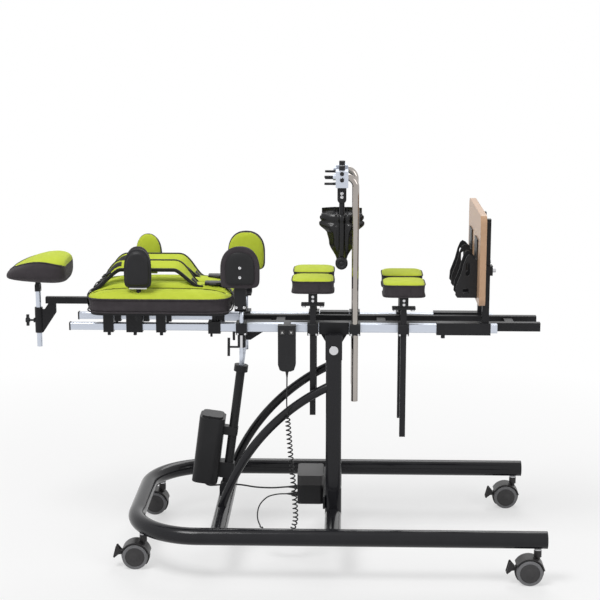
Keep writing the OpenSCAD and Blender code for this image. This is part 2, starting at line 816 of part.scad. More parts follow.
// Blocks that join the silver rails, each with its pivot plate and hub
module pivot_brackets() {
    plate_t = 10;
    y0 = silver_y - plate_t / 2;
    block_in_y = main_out_y;
    block_out_y = silver_out_y + clamp_wall;
    block_low = rail_low - clamp_wall;
    color("#151517") both_sides() difference() {
        union() {
            translate([pivot_x, (block_in_y + block_out_y) / 2, rail_z]) rotate([90, 0, 90])
                translate([0, 0, -block_half_l]) linear_extrude(2 * block_half_l)
                    round_rect(block_out_y - block_in_y, rail_h + 2 * clamp_wall, 2);
            plate_xz([
                [block_x0 + 4, block_low + 1], [block_x1 - 4, block_low + 1],
                [pivot_x + hub_r - 2, pivot_z - 6], [pivot_x, pivot_z - hub_r],
                [pivot_x - hub_r + 2, pivot_z - 6]
            ], y0, y0 + plate_t);
            rod_y(pivot_x, y0, hub_out_y, pivot_z, hub_r);
        }
        rail_room(block_x0 - 1, block_x1 + 1, silver_y, 0);
        rod_y(pivot_x, 0, hub_out_y + 1, pivot_z, pivot_r + pin_gap);
    }
}

// Wide silver rails with the thin rails of the back pushed into their mouths
module back_tubes() {
    color("#aab0b8") both_sides() {
        rail_x(back_mouth_x, pivot_x - 12, silver_y);
        rail_x(back_tube_x, back_mouth_x + 70, silver_y, back_rail_w, back_rail_h, 2);
    }
}

module leg_tubes() {
    color("#aab0b8") both_sides() rail_x(pivot_x + 12, leg_tube_x, silver_y);
}

// Cross plate under the main rails with the two cheeks round the upper actuator eye
module actuator_lugs() {
    plate_x0 = main_head_x + 2;
    plate_x1 = act_eye_x + 76;
    plate_z0 = rail_z - 4;
    y0 = act_rod_r + act_lug_gap;
    y1 = y0 + act_lug_t;
    low = act_eye[1] - 18;
    color("#1c1c1e") {
        block([plate_x0, -main_in_y, plate_z0], [plate_x1, main_in_y, plate_z0 + 6]);
        both_sides() {
            plate_xz([
                [plate_x0 + 2, plate_z0], [plate_x0 + 2, act_eye[1]], [act_eye_x - 4, low],
                [act_eye_x + 16, low], [plate_x1 - 4, plate_z0 - 12], [plate_x1 - 4, plate_z0]
            ], y0, y1);
            rod_y(act_eye_x, y1, y1 + 6, act_eye[1], 10);
        }
    }
}

// Clamp round a silver rail that reaches out to hold a post
module post_clamp(x) {
    difference() {
        bar_x(x - clamp_half_l, x + clamp_half_l, (main_out_y + clamp_out_y) / 2, rail_z,
            clamp_out_y - main_out_y, rail_h + 2 * clamp_wall, 5);
        rail_room(x - clamp_l, x + clamp_l, silver_y, 0);
        children();
    }
    for (dx = [-1, 1])
        rod_y(x + dx * (clamp_half_l - 5), clamp_out_y, clamp_out_y + 1.2, rail_low - clamp_wall + 4, 3);
}

// Clamps of the hip, leg and knee posts, and the holder of the handset
module rail_clamps() {
    room = leg_post_side + 2 * slide_gap;
    stub_z = rail_low - 42;
    holder_half = 10;
    color("#141416") {
        both_sides() {
            for (x = [thigh_x, calf_x]) post_clamp(x)
                block([x - room / 2, post_y - room / 2, 0], [x + room / 2, post_y + room / 2, 2 * rail_z]);
            post_clamp(knee_x) rod_z(knee_x, post_y, 0, 2 * rail_z, knee_r + pin_gap);
            post_clamp(hip_x) rod_z(hip_x, post_y, 0, 2 * rail_z, hip_post_r + pin_gap);
            difference() {
                rod_z(hip_x, post_y, stub_z, rail_low - clamp_wall, min(hip_stub_r, mast_in_y - post_y));
                rod_z(hip_x, post_y, 0, rail_z, hip_post_r + pin_gap);
                rod_x(hip_x - 30, hip_x, post_y, hip_lever_z, hip_lever_r + pin_gap);
            }
        }
        near_side() {
            block(
                [handset_x - holder_half, silver_in_y, rail_top],
                [handset_x + holder_half, handset_in_y, rail_top + 5]
            );
            block(
                [handset_x - holder_half, handset_in_y - 4, rail_low - 20],
                [handset_x + holder_half, handset_in_y, rail_top]
            );
        }
    }
}

// Clamp screw with its cross lever
module hip_lever() {
    from_x = hip_x - hip_stub_r - 26;
    lever_half = 27;
    color("#111112") {
        rod_x(from_x, hip_x - hip_post_r - 1, post_y, hip_lever_z, hip_lever_r);
        translate([from_x, post_y, hip_lever_z]) rotate([12, 0, 0]) translate([0, 0, -lever_half])
            cylinder(r = 4, h = 2 * lever_half);
    }
}

module hip_lever_near() {
    near_side() hip_lever();
}

module hip_lever_far() {
    hip_lever();
}

// Places of the two handset buttons
function button_x(side) = handset_x + side * handset_w / 4;

// Rounded square of a handset button, from y0 to y1, with a gap all round
module button_shape(side, y0, y1, gap) {
    w = button_w + 2 * gap;
    translate([button_x(side), y1, button_z]) rotate([90, 0, 0]) linear_extrude(y1 - y0) round_rect(w, w, 3);
}

module handset() {
    taper = 5;
    half = handset_w / 2;
    color("#27272a") near_side() difference() {
        union() {
            plate_xz([
                [handset_x - half, handset_top_z], [handset_x - half, handset_low_z + 24],
                [handset_x - half + taper, handset_low_z + 8],
                [handset_x - half + taper + 9, handset_low_z + 4],
                [handset_x + half - taper - 9, handset_low_z + 4],
                [handset_x + half - taper, handset_low_z + 8],
                [handset_x + half, handset_low_z + 24], [handset_x + half, handset_top_z]
            ], handset_in_y, handset_out_y);
            rod_z(handset_x, handset_in_y + 12, handset_low_z, handset_low_z + 6, 6);
        }
        for (side = [-1, 1]) button_shape(side, handset_out_y - 6, handset_out_y + 1, slide_gap);
        rod_y(handset_x, handset_out_y - 1, handset_out_y + 1, handset_low_z + 50, 0.6);
    }
}

module handset_button(side) {
    color("#3b3b3f") near_side() button_shape(side, handset_out_y - 4, handset_out_y + button_proud, 0);
}

module handset_button_up() {
    handset_button(-1);
}

module handset_button_down() {
    handset_button(1);
}

// Board of the back, with its sliding clamps on the silver rails and the bushes of the chest supports
module back_board() {
    inset = 12;
    half_w = back_half_w - inset;
    thin_y = back_rail_w / 2 + clamp_wall;
    thin_low = rail_z - back_rail_h / 2 - clamp_wall;
    wide_y = rail_w / 2 + clamp_wall;
    wide_low = rail_low - clamp_wall;
    wide_top = rail_top + clamp_wall;
    mouth_x = MOUTH_CLAMP[0];
    mouth_half_l = MOUTH_CLAMP[1];
    color("#1a1a1c") difference() {
        union() {
            translate([back_mid_x, 0, board_z]) linear_extrude(board_t)
                round_rect(2 * (back_half_l - inset), 2 * half_w, 40);
            both_sides() {
                for (c = BACK_CLAMPS) block(
                    [c[0] - c[1], silver_y - thin_y, thin_low], [c[0] + c[1], silver_y + thin_y, board_z]
                );
                for (c = BACK_CLAMPS) rod_z(c[0], silver_y, thin_low - 11, thin_low, 5);
                block(
                    [mouth_x - mouth_half_l, silver_y - wide_y, wide_low],
                    [mouth_x + mouth_half_l, silver_y + wide_y, wide_top]
                );
                rod_z(mouth_x, silver_y, wide_top - 1, board_z, 8);
                rod_z(mouth_x - 10, silver_y, wide_low - 12, wide_low, 3.5);
                rod_z(chest_x, chest_y - 12, board_z - 16, board_z, chest_stalk_r + 5);
            }
        }
        both_sides() {
            for (c = BACK_CLAMPS)
                rail_room(c[0] - c[1] - 1, c[0] + c[1] + 1, silver_y, slide_gap, back_rail_w, back_rail_h);
            rail_room(mouth_x - mouth_half_l - 1, mouth_x + mouth_half_l + 1, silver_y, slide_gap);
            rod_z(chest_x, chest_y - 12, 0, back_z + 1, chest_stalk_r + pin_gap);
        }
    }
}

// Back cushion: drawn-in sides, crowned top with sewn lengthwise channels
module back_cushion() {
    across = 36;
    e = 7;
    stations = [-0.99, -0.965, -0.91, -0.8, -0.6, -0.35, 0, 0.35, 0.6, 0.8, 0.91, 0.965, 0.99];
    tuck = 4;
    rings = [
        for (s = stations)
            let (w = back_half_w * pow(1 - pow(abs(s), e), 1 / e), rise = back_crown * (1 - pow(abs(s), 8)))
            let (x = back_mid_x + back_half_l * s)
            concat(
                [for (i = [0 : across])
                    let (y = w * (1 - 2 * i / across), q = 1 - pow(abs(y / w), 4))
                    let (sewn = max([for (c = BACK_CHANNELS) exp(-pow((y - c) / 5, 2))]))
                    [x, y, back_seam_z + (rise - channel_depth * sewn * rise / back_crown) * sqrt(q)]],
                [
                    [x, -w + tuck, back_z + back_side_h * 0.5], [x, -w + 1, back_z + 6], [x, -w + 7, back_z],
                    [x, 0, back_z], [x, w - 7, back_z], [x, w - 1, back_z + 6],
                    [x, w - tuck, back_z + back_side_h * 0.5]
                ]
            )
    ];
    mid_z = back_z + back_side_h / 2;
    color("#9dc41a") difference() {
        skin(rings, [back_mid_x - back_half_l, 0, mid_z + 14], [back_mid_x + back_half_l, 0, mid_z]);
        block(
            [back_head_x - 10, -bar_side / 2 - 2, back_z - 1],
            [bar_foot_x + 45, bar_side / 2 + 2, bar_z + bar_side / 2 + 2]
        );
        both_sides() rod_z(chest_x, chest_y - 12, back_z - 1, back_z + 200, chest_stalk_r + 2);
    }
}

// Two padded shoulder straps that lie on the cushion at their ends and bow up between
module shoulder_straps() {
    strap_y = 58;
    half_w = 22;
    half_t = 4.5;
    end_t = 2;
    head_x = back_head_x + 14;
    foot_x = back_foot_x - 88;
    clear = 0.3;
    rise = 56;
    lift = 0.24;
    lean = 28;
    count = 20;
    sides = 8;
    function strap_x(u) = head_x + (foot_x - head_x) * u;
    function seat_z(u) =
        back_seam_z + back_crown * (1 - pow(abs((strap_x(u) - back_mid_x) / back_half_l), 8));
    function bow(u) = ease((u - 0.02) / lift) * ease((0.98 - u) / lift);
    function thick(u) = end_t + (half_t - end_t) * bow(u);
    function strap_point(u) = [strap_x(u), 0, seat_z(u) + clear + thick(u) + rise * bow(u)];
    function strap_ring(u, y) =
        let (p = strap_point(u), t = unit(strap_point(u + 0.01) - strap_point(u - 0.01)), a = lean * bow(u))
        let (across = [-t[2] * sin(a), cos(a), t[0] * sin(a)])
        let (up = [-t[2] * cos(a), -sin(a), t[0] * cos(a)])
        [for (i = [0 : sides - 1])
            let (o = round_point(half_w, thick(u), 3.5, 360 * (i + 0.5) / sides))
            p + [0, y, 0] + across * o[0] + up * o[1]];
    color("#8fb81a") for (y = [-strap_y, strap_y]) skin(
        [for (j = [0 : count]) strap_ring(j / count, y)],
        strap_point(0) + [0, y, 0], strap_point(1) + [0, y, 0]
    );
}

// Sliding bar under the back cushion, with the bracket and sleeve of the headrest stem
module head_bar() {
    plate_t = 8;
    low = bar_z - bar_side / 2;
    color("#1b1b1d") difference() {
        union() {
            bar_x(bar_head_x, bar_foot_x, 0, bar_z, bar_side, bar_side, 2);
            plate_xz([
                [bar_head_x + 8, low + 1], [bar_head_x + 30, low + 1], [bar_head_x + 30, low - 28],
                [stem_x + 12, head_sleeve_z0], [stem_x, head_sleeve_z0], [stem_x, head_sleeve_z1 - 6],
                [stem_x + 18, head_sleeve_z1 - 6]
            ], -plate_t / 2, plate_t / 2);
            rod_z(stem_x, 0, head_sleeve_z0, head_sleeve_z1, head_sleeve_r);
            rod_x(stem_x - head_sleeve_r - 4, stem_x, 0, rail_z, 7);
        }
        rod_z(stem_x, 0, 0, 2 * rail_z, stem_r + pin_gap);
        rod_x(stem_x - 40, stem_x, 0, rail_z, head_pin_r + pin_gap);
    }
}

// Round stem with a fork and pin at its top and a plug at its foot
module head_stem() {
    ear_t = 4;
    ear_y = 6 + slide_gap;
    color("#aab0b8") {
        rod_z(stem_x, 0, stem_low_z, stem_top_z - 13, stem_r - eps);
        both_sides() {
            rod_y(stem_x, ear_y, ear_y + ear_t, stem_top_z, 8);
            block([stem_x - 8, ear_y, stem_top_z - 16], [stem_x + 8, ear_y + ear_t, stem_top_z]);
        }
        block([stem_x - 8, -ear_y - ear_t, stem_top_z - 18], [stem_x + 8, ear_y + ear_t, stem_top_z - 11]);
        rod_y(stem_x, -ear_y - ear_t - 2, ear_y + ear_t + 2, stem_top_z, head_pin_r);
    }
}

// Head pad, thick at the neck and thin at the crown, on its lug
module head_pad() {
    seg = 28;
    stations = [0.015, 0.06, 0.16, 0.3, 0.5, 0.7, 0.85, 0.94, 0.985];
    rings = [
        for (s = stations)
            let (end = pow(1 - pow(abs(2 * s - 1), 5), 1 / 3))
            let (low = head_low_z + 16 * (1 - s) * (1 - s))
            let (high = head_low_z + 42 + (head_h - 42) * sin(115 * s))
            let (mid = (low + high) / 2, half = (high - low) / 2 * (0.45 + 0.55 * end))
            let (w = head_half_w * (0.35 + 0.65 * end))
            [for (i = [0 : seg - 1])
                let (p = round_point(w, half, 2.8, 360 * i / seg))
                [head_x0 + head_l * s, p[0], mid + p[1]]]
    ];
    function middle(ring) = (ring[0] + ring[seg / 2]) / 2;
    color("#93bb1c") {
        skin(
            rings,
            middle(rings[0]) - [head_l * 0.015, 0, 0],
            middle(rings[len(rings) - 1]) + [head_l * 0.015, 0, 0]
        );
        difference() {
            union() {
                rod_y(stem_x, -6, 6, stem_top_z, 7);
                block([stem_x - 7, -6, stem_top_z], [stem_x + 7, 6, head_low_z + 9]);
            }
            rod_y(stem_x, -7, 7, stem_top_z, head_pin_r + pin_gap);
        }
    }
}

// Wing knob that clamps the headrest stem
module head_knob() {
    from_x = stem_x - head_sleeve_r - 22;
    color("#121213") {
        rod_x(from_x, stem_x - stem_r - 1, 0, rail_z, head_pin_r);
        rod_x(from_x - 6, from_x + 6, 0, rail_z, 7);
        block([from_x - 4, -4, rail_z - 17], [from_x + 4, 4, rail_z + 17]);
    }
}

// Chest support: stalk, hard shell and pad
module chest_support() {
    half_w = 40;
    h = 116;
    shell_t = 10;
    pad_t = 16;
    color("#1d1d20") {
        rod_z(chest_x, chest_y - 12, board_z - 14, chest_z + 20, chest_stalk_r);
        translate([chest_x, chest_y - 5, chest_z]) shield(half_w, h, shell_t, 8);
        translate([chest_x, chest_y - 5, chest_z + 3]) mirror([0, 1, 0]) shield(half_w - 1, h + 4, pad_t, 9);
    }
}

module chest_support_near() {
    near_side() chest_support();
}

module chest_support_far() {
    chest_support();
}

// Hip support: silver post, folded bracket, pad and its back plate
module hip_support() {
    half_w = 57;
    h = 122;
    plate_y = hip_pad_y - 6;
    bracket_z = rail_z + 60;
    half_l = 17;
    color("#242428") {
        rod_z(hip_x, post_y, rail_low - 96, bracket_z + 4, hip_post_r);
        block([hip_x - half_l, post_y - 9, bracket_z], [hip_x + half_l, plate_y + 6, bracket_z + 6]);
        block([hip_x - half_l, plate_y, bracket_z], [hip_x + half_l, plate_y + 6, hip_pad_z + 40]);
        translate([hip_x, hip_pad_y, hip_pad_z]) shield(half_w, h, 9, 5);
        translate([hip_x, hip_pad_y, hip_pad_z + 2]) mirror([0, 1, 0]) shield(half_w - 2, h - 2, 18, 8);
    }
}

module hip_support_near() {
    near_side() hip_support();
}

module hip_support_far() {
    hip_support();
}

// Square post with its head plate, bolts and the block under the pad
module leg_post(x, pad_z, tail) {
    plate_half_l = 34;
    plate_half_w = 15;
    plate_z = pad_z - leg_block_h - leg_plate_t;
    half = leg_post_side / 2;
    block([x - half, post_y - half, rail_z - tail], [x + half, post_y + half, plate_z + 1]);
    block(
        [x - plate_half_l, post_y - plate_half_w, plate_z],
        [x + plate_half_l, post_y + plate_half_w, plate_z + leg_plate_t]
    );
    block([x - 13, post_y - 17, plate_z + leg_plate_t - eps], [x + 13, post_y + 13, pad_z]);
    for (dx = [-1, 1]) rod_z(x + dx * (plate_half_l - 8), post_y, plate_z - 6, plate_z + eps, 6);
    for (dz = [9, 21]) rod_y(x, post_y + 13 - eps, post_y + 15, plate_z + leg_plate_t + dz, 4);
}

module thigh_posts() {
    color("#202023") both_sides() leg_post(thigh_x, thigh_pad_z, thigh_tail);
}

module calf_posts() {
    color("#202023") both_sides() leg_post(calf_x, calf_pad_z, calf_tail);
}

module leg_pads(x, z) {
    crown = 10;
    color("#9dc41a") both_sides() translate([x, leg_pad_y, z])
        pad_block(leg_pad_l / 2, leg_pad_w / 2, leg_pad_h, crown);
}

module thigh_pads() {
    leg_pads(thigh_x, thigh_pad_z);
}

module calf_pads() {
    leg_pads(calf_x, calf_pad_z);
}

// Wing lever that clamps the block of the knee cup, with its stub
module wing_lever(x, y, z) {
    stub = 8;
    reach = 27;
    rod_x(x - stub, x + eps, y, z, 4);
    block([x - reach, y - 6, z - 3], [x - stub + eps, y + 6, z + 3]);
    rod_z(x - reach, y, z - 3, z + 3, 6);
}

// Chrome arm that bends over to the block of the knee cup, with its levers and knobs
module knee_arm() {
    bend_z = rail_z + knee_rise;
    head_x0 = knee_block_x - 18;
    head_x1 = knee_block_x + 18;
    head_y0 = knee_cup_y - 14;
    head_y1 = post_y + knee_r + 2;
    color("#c4c6c9") difference() {
        union() {
            rod_z(knee_x, post_y, rail_z - knee_tail, bend_z, knee_r - eps);
            translate([knee_x - knee_bend_r, post_y, bend_z]) rotate([90, 0, 0]) rotate_extrude(angle = 90)
                translate([knee_bend_r, 0]) circle(knee_r - eps);
            rod_x(head_x0 - 8, knee_x - knee_bend_r, post_y, knee_top_z, knee_r - eps);
            block([head_x0, head_y0, knee_top_z - 31], [head_x1, head_y1, knee_top_z + 16]);
            for (z = [-8, 10]) rod_y(knee_block_x, head_y1 - eps, head_y1 + 9, knee_top_z + z, 6);
            rod_z(knee_block_x, knee_cup_y, knee_top_z + 16 - eps, knee_top_z + 28, 9);
            for (z = [-24, -4]) wing_lever(head_x0, knee_cup_y + 4, knee_top_z + z);
        }
        rod_z(knee_block_x, knee_cup_y, 0, knee_top_z + 10, knee_stem_r + pin_gap);
        rod_z(knee_x, post_y, rail_z - knee_tail - 1, rail_z - knee_tail + knee_bore_l, knee_r - knee_wall);
    }
}

module knee_arm_near() {
    near_side() knee_arm();
}

module knee_arm_far() {
    knee_arm();
}

// Half the width of the knee cup at height h over its knob: a waist, broad shoulders and a set-back ledge
function cup_half_w(h) = 15 + 22 * ease((h - 8) / 52) + 7 * ease((h - 60) / 35) + 22 * ease((h - 88) / 26)
    - 6 * ease((h - cup_fold_h + 2) / 5);
// Place of point i across the half width w, with close steps at the sides of the middle rib
function cup_x(i, w) = let (n = abs(i)) sign(i) * (n < 3 ? [0, 5, 9][n] : 9 + (w - 9) * (n - 2) / 6);
// Bulge of the knee cup: a dish with two lobes beside the middle rib, under a rolled ledge
function cup_bulge(x, h) =
    let (
        u = abs(x) / cup_half_w(h),
        dish = 8 + 14 * ease(h / 100),
        lobe = 9 * ease(h / 100) * (1 - ease((h - 108) / (cup_fold_h - 108))),
        ledge = 5 * sin(180 * max(0, h - cup_fold_h) / (cup_h - cup_fold_h)),
        groove = 3 * exp(-pow((abs(x) - 12) / 4, 2)),
        rib = 5 * (1 - ease((abs(x) - 5) / 4))
    )
    dish * (1 - u * u) + lobe * exp(-pow((u - 0.5) / 0.3, 2)) + ledge - groove + rib;

// Moulded knee cup: thin dished shell with two lobes and a ledge, on its stem, with a knob at the foot
module knee_cup() {
    t = 5;
    half = 8;
    y0 = knee_cup_y;
    stem_y = y0 + 13;
    levels = [0, 12, 24, 36, 50, 64, 78, 88, 95, 101, 107, 113, 118, cup_fold_h, 124, 129, 136, cup_h];
    function outer(i, h) = let (x = cup_x(i, cup_half_w(h)))
        [knee_block_x - x, y0 + cup_bulge(x, h) - 4, cup_low_z + h];
    function inner(i, h) = outer(i, h) - [0, t, 0];
    rings = [
        for (h = levels)
            concat([for (i = [-half : half]) outer(i, h)], [for (i = [half : -1 : -half]) inner(i, h)])
    ];
    color("#0d0d0e") {
        skin(rings, strip = true);
        difference() {
            union() {
                rod_y(knee_block_x, y0 - 6, y0 + 18, cup_low_z, cup_knob_r);
                rod_y(knee_block_x, y0 + 18 - eps, y0 + 22, cup_low_z, cup_knob_r - 2);
            }
            rod_y(knee_block_x, y0 + 20, y0 + 23, cup_low_z, cup_knob_r - 9);
        }
        rod_z(knee_block_x, stem_y, cup_low_z + cup_h - 36, knee_link_z0 + 8, knee_stem_r + 2);
        rod_z(knee_block_x, y0, knee_link_z1 - 10, knee_top_z + 6, knee_stem_r);
        rod_y(knee_block_x, y0 - 9, stem_y + 9, knee_link_z0 + 13, 13);
        block([knee_block_x - 13, y0 - 9, knee_link_z0 + 13], [knee_block_x + 13, stem_y + 9, knee_link_z1]);
    }
}

module knee_cup_near() {
    near_side() knee_cup();
}

module knee_cup_far() {
    knee_cup();
}

// Sleeves on the leg rails, each with an upright post and a clamp screw
module foot_carriage() {
    in_y = main_out_y + slide_gap;
    out_y = silver_out_y + clamp_wall;
    half = foot_post_side / 2;
    top = rail_top + clamp_wall;
    post_top = footboard_z0 + 235;
    color("#1b1b1d") both_sides() difference() {
        union() {
            block([sleeve_x, in_y, rail_low - clamp_wall], [sleeve_x + sleeve_l, out_y, top]);
            block(
                [foot_post_x - half, silver_y - half, top - eps],
                [foot_post_x + half, silver_y + half, post_top]
            );
            rod_z(sleeve_x + 20, silver_y, rail_low - clamp_wall - 12, rail_low - clamp_wall + eps, 6);
        }
        rail_room(sleeve_x - 1, sleeve_x + sleeve_l + 1, silver_y, slide_gap);
    }
}

// Beech board with round corners
module footboard() {
    r = 22;
    color("#d9b48f") difference() {
        translate([footboard_x0, 0, footboard_z0 + footboard_h / 2]) rotate([90, 0, 90])
            linear_extrude(footboard_t) round_rect(2 * footboard_half_w, footboard_h, r);
        both_sides() rod_x(footboard_x0 - 1, footboard_x1 + 1, sandal_y, sandal_bolt_z, sandal_bolt_r);
    }
}

// Clamps of the footboard round its posts, and the bolts that the sandals turn on
module foot_clamps() {
    half = foot_post_side / 2;
    wall = 7;
    half_h = 14;
    room = half + slide_gap;
    color("#2b2b2e") both_sides() {
        difference() {
            union() {
                block([footboard_x1, silver_y - half - wall, foot_clamp_z - half_h],
                    [foot_post_x + half + wall, silver_y + half + wall, foot_clamp_z + half_h]);
                rod_x(
                    foot_post_x + half + wall - eps, foot_post_x + half + wall + 10,
                    silver_y, foot_clamp_z, 7
                );
            }
            block(
                [foot_post_x - room, silver_y - room, 0],
                [foot_post_x + room, silver_y + room, 2 * rail_z]
            );
        }
        rod_x(footboard_x0 - sandal_wall - 4, footboard_x1, sandal_y, sandal_bolt_z, sandal_bolt_r - eps);
        rod_x(footboard_x0 - sandal_wall - slide_gap - 4, footboard_x0 - sandal_wall - 2 * slide_gap,
            sandal_y, sandal_bolt_z, 9);
    }
}

// Sandal: sole plate, two cut-out side walls and a heel wall
module sandal() {
    x1 = footboard_x0 - slide_gap;
    x0 = x1 - sandal_deep;
    half = sandal_w / 2;
    heel_t = 4;
    wall_points = [
        [x1, sandal_z], [x0 + 6, sandal_z], [x0, sandal_z + 8], [x0 + 2, sandal_z + 34],
        [x0 + 16, sandal_z + 72],
        [x0 + 24, sandal_z + 104], [x0 + 31, sandal_z + sandal_h - 6], [x0 + 38, sandal_z + sandal_h],
        [x0 + 47, sandal_z + sandal_h - 4], [x1, sandal_z + sandal_h - 20]
    ];
    color("#1a1a1c") difference() {
        union() {
            block(
                [x1 - sandal_wall, sandal_y - half, sandal_z],
                [x1, sandal_y + half, sandal_z + sandal_h + 44]
            );
            for (y = [sandal_y - half, sandal_y + half - sandal_wall])
                plate_xz(wall_points, y, y + sandal_wall);
            block([x0 + 6, sandal_y - half, sandal_z], [x1, sandal_y + half, sandal_z + heel_t]);
        }
        for (z = [70, 98]) rod_y(x0 + 35, sandal_y - half - 1, sandal_y + half + 1, sandal_z + z, 6);
        block([x0 + 29, sandal_y - half - 1, sandal_z + 70], [x0 + 41, sandal_y + half + 1, sandal_z + 98]);
        block([x0 + 22, sandal_y - half - 1, sandal_z + 12], [x0 + 38, sandal_y + half + 1, sandal_z + 27]);
        rod_x(x1 - 20, x1 + 1, sandal_y, sandal_bolt_z, sandal_bolt_r + pin_gap);
    }
}

module sandal_near() {
    near_side() sandal();
}

module sandal_far() {
    sandal();
}

// Sideways direction along a route, square to it as far as it can be
function route_side(list, u) = let (t = unit(curve_point(list, u + 0.004) - curve_point(list, u - 0.004)))
    unit([0, 1, 0] - t[1] * t);
// Share of the curl at route share u: 0 on the straight stretches
function curl_share(u) = ease((u - CURL_SPAN[0]) / 0.03) * ease((CURL_SPAN[1] - u) / 0.03);
// Outward direction of the curl at route share u
function curl_out(u) =
    let (t = unit(curve_point(CORD_ROUTE, u + 0.004) - curve_point(CORD_ROUTE, u - 0.004)))
    let (a = route_side(CORD_ROUTE, u), b = cross(t, a))
    let (turn = 360 * curls * (u - CURL_SPAN[0]) / (CURL_SPAN[1] - CURL_SPAN[0]))
    cos(turn) * a + sin(turn) * b;
curl_rings = 8 * curls;
cord_shares = concat(
    [for (i = [0 : 9]) CURL_SPAN[0] * i / 10],
    [for (i = [0 : curl_rings]) CURL_SPAN[0] + (CURL_SPAN[1] - CURL_SPAN[0]) * i / curl_rings],
    [for (i = [1 : 12]) CURL_SPAN[1] + (1 - CURL_SPAN[1]) * i / 12]
);
cord_centres = [for (u = cord_shares) curve_point(CORD_ROUTE, u) + curl_r * curl_share(u) * curl_out(u)];

// Handset cord: one unbroken tube, straight at its ends and curled between
module handset_cord() {
    last = len(cord_centres) - 1;
    least = min([
        for (i = [0 : last - 6], j = [i + 6 : min(last, i + 40)]) norm(cord_centres[i] - cord_centres[j])
    ]);
    echo(least_gap_of_the_cord_to_itself = least - cord_d);
    color("#151517") tube_along(cord_centres, [0, 1, 0], cord_d, 6);
}

module motor_cable() {
    count = 30;
    shares = [for (i = [0 : count]) i / count];
    color("#151517") tube_along([for (u = shares) curve_point(MOTOR_ROUTE, u)], [0, 1, 0], motor_cable_d, 8);
}

base_tube();
base_fittings();
cross_tubes();
masts();
arch_braces();
actuator_foot();
control_box();
control_box_lid();
castor_hood(0);  // castor_hood_1
castor_hood(1);  // castor_hood_2
castor_hood(2);  // castor_hood_3
castor_hood(3);  // castor_hood_4
castor_wheels(0);  // castor_wheels_1
castor_wheels(1);  // castor_wheels_2
castor_wheels(2);  // castor_wheels_3
castor_wheels(3);  // castor_wheels_4
brake_pedal(0);  // brake_pedal_1
brake_pedal(1);  // brake_pedal_2
brake_pedal(2);  // brake_pedal_3
brake_pedal(3);  // brake_pedal_4
actuator_body();
actuator_rod();
main_frame();
rail_caps();
pivot_brackets();
back_tubes();
leg_tubes();
actuator_lugs();
rail_clamps();
hip_lever_near();
hip_lever_far();
handset();
handset_button_up();
handset_button_down();
back_board();
back_cushion();
shoulder_straps();
head_bar();
head_stem();
head_pad();
head_knob();
chest_support_near();
chest_support_far();
hip_support_near();
hip_support_far();
thigh_posts();
thigh_pads();
calf_posts();
calf_pads();
knee_arm_near();
knee_arm_far();
knee_cup_near();
knee_cup_far();
foot_carriage();
footboard();
foot_clamps();
sandal_near();
sandal_far();
handset_cord();
motor_cable();
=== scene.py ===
"""Looks of a motorised supine standing frame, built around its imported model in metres."""

from __future__ import annotations

import json
import logging
import math
from dataclasses import dataclass, field
from enum import Enum
from typing import Callable, Protocol, Sequence

import bmesh
import bpy
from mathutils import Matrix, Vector

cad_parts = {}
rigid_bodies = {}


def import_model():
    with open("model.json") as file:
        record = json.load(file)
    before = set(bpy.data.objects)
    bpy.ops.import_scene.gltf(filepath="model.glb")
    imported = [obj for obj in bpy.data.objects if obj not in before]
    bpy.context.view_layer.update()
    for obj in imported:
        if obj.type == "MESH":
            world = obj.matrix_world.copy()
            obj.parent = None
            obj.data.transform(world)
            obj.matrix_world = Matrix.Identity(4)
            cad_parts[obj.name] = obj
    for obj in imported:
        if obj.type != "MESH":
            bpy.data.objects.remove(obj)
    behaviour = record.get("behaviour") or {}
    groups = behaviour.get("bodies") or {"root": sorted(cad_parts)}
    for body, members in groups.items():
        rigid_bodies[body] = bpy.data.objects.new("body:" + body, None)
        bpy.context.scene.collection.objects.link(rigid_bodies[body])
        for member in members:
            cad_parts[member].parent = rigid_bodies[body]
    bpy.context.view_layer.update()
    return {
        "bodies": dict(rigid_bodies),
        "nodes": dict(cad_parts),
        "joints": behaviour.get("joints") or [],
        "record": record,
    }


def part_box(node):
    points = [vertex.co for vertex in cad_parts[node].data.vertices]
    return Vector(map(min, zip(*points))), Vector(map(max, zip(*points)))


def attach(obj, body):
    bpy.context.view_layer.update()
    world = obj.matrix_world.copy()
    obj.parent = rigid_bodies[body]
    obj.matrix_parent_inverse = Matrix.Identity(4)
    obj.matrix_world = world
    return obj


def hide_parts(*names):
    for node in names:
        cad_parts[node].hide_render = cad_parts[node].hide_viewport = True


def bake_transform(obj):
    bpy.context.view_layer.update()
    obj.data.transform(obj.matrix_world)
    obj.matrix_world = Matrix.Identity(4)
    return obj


LOG = logging.getLogger("standing_frame")
Pair = tuple[float, float]
Point = tuple[float, float, float]
Ring = list[Point]
Wanted = Callable[[Vector, Vector], bool]
MM_PER_M = 1000
# Sign and number of the two pieces of a pair
FLANKS = ((-1, 1), (1, 3))


class Side(Enum):
    """The two sides of the frame, as the sign of Y."""

    NEAR = -1
    FAR = 1

    @property
    def word(self) -> str:
        """The side's name as the nodes spell it."""
        return self.name.lower()


class Texture(Enum):
    """The fine structure that a finish shows."""

    GRAIN = "grain"
    WEAVE = "weave"
    WOOD = "wood"
    BRUSHED = "brushed"


class Assembly(Protocol):
    """What every sub-assembly offers."""

    def build(self) -> None:
        """Makes and dresses its pieces."""


def turns(count: int) -> list[float]:
    """Gives evenly spread angles round a circle."""
    return [2 * math.pi * k / count for k in range(count)]


def ease(value: float) -> float:
    """Rises smoothly from 0 to 1."""
    c = min(max(value, 0.0), 1.0)
    return c * c * (3 - 2 * c)


def hump(value: float, middle: float, reach: float) -> float:
    """Gives the height of a smooth hump, 1 at its middle."""
    return math.exp(-(((value - middle) / reach) ** 2))


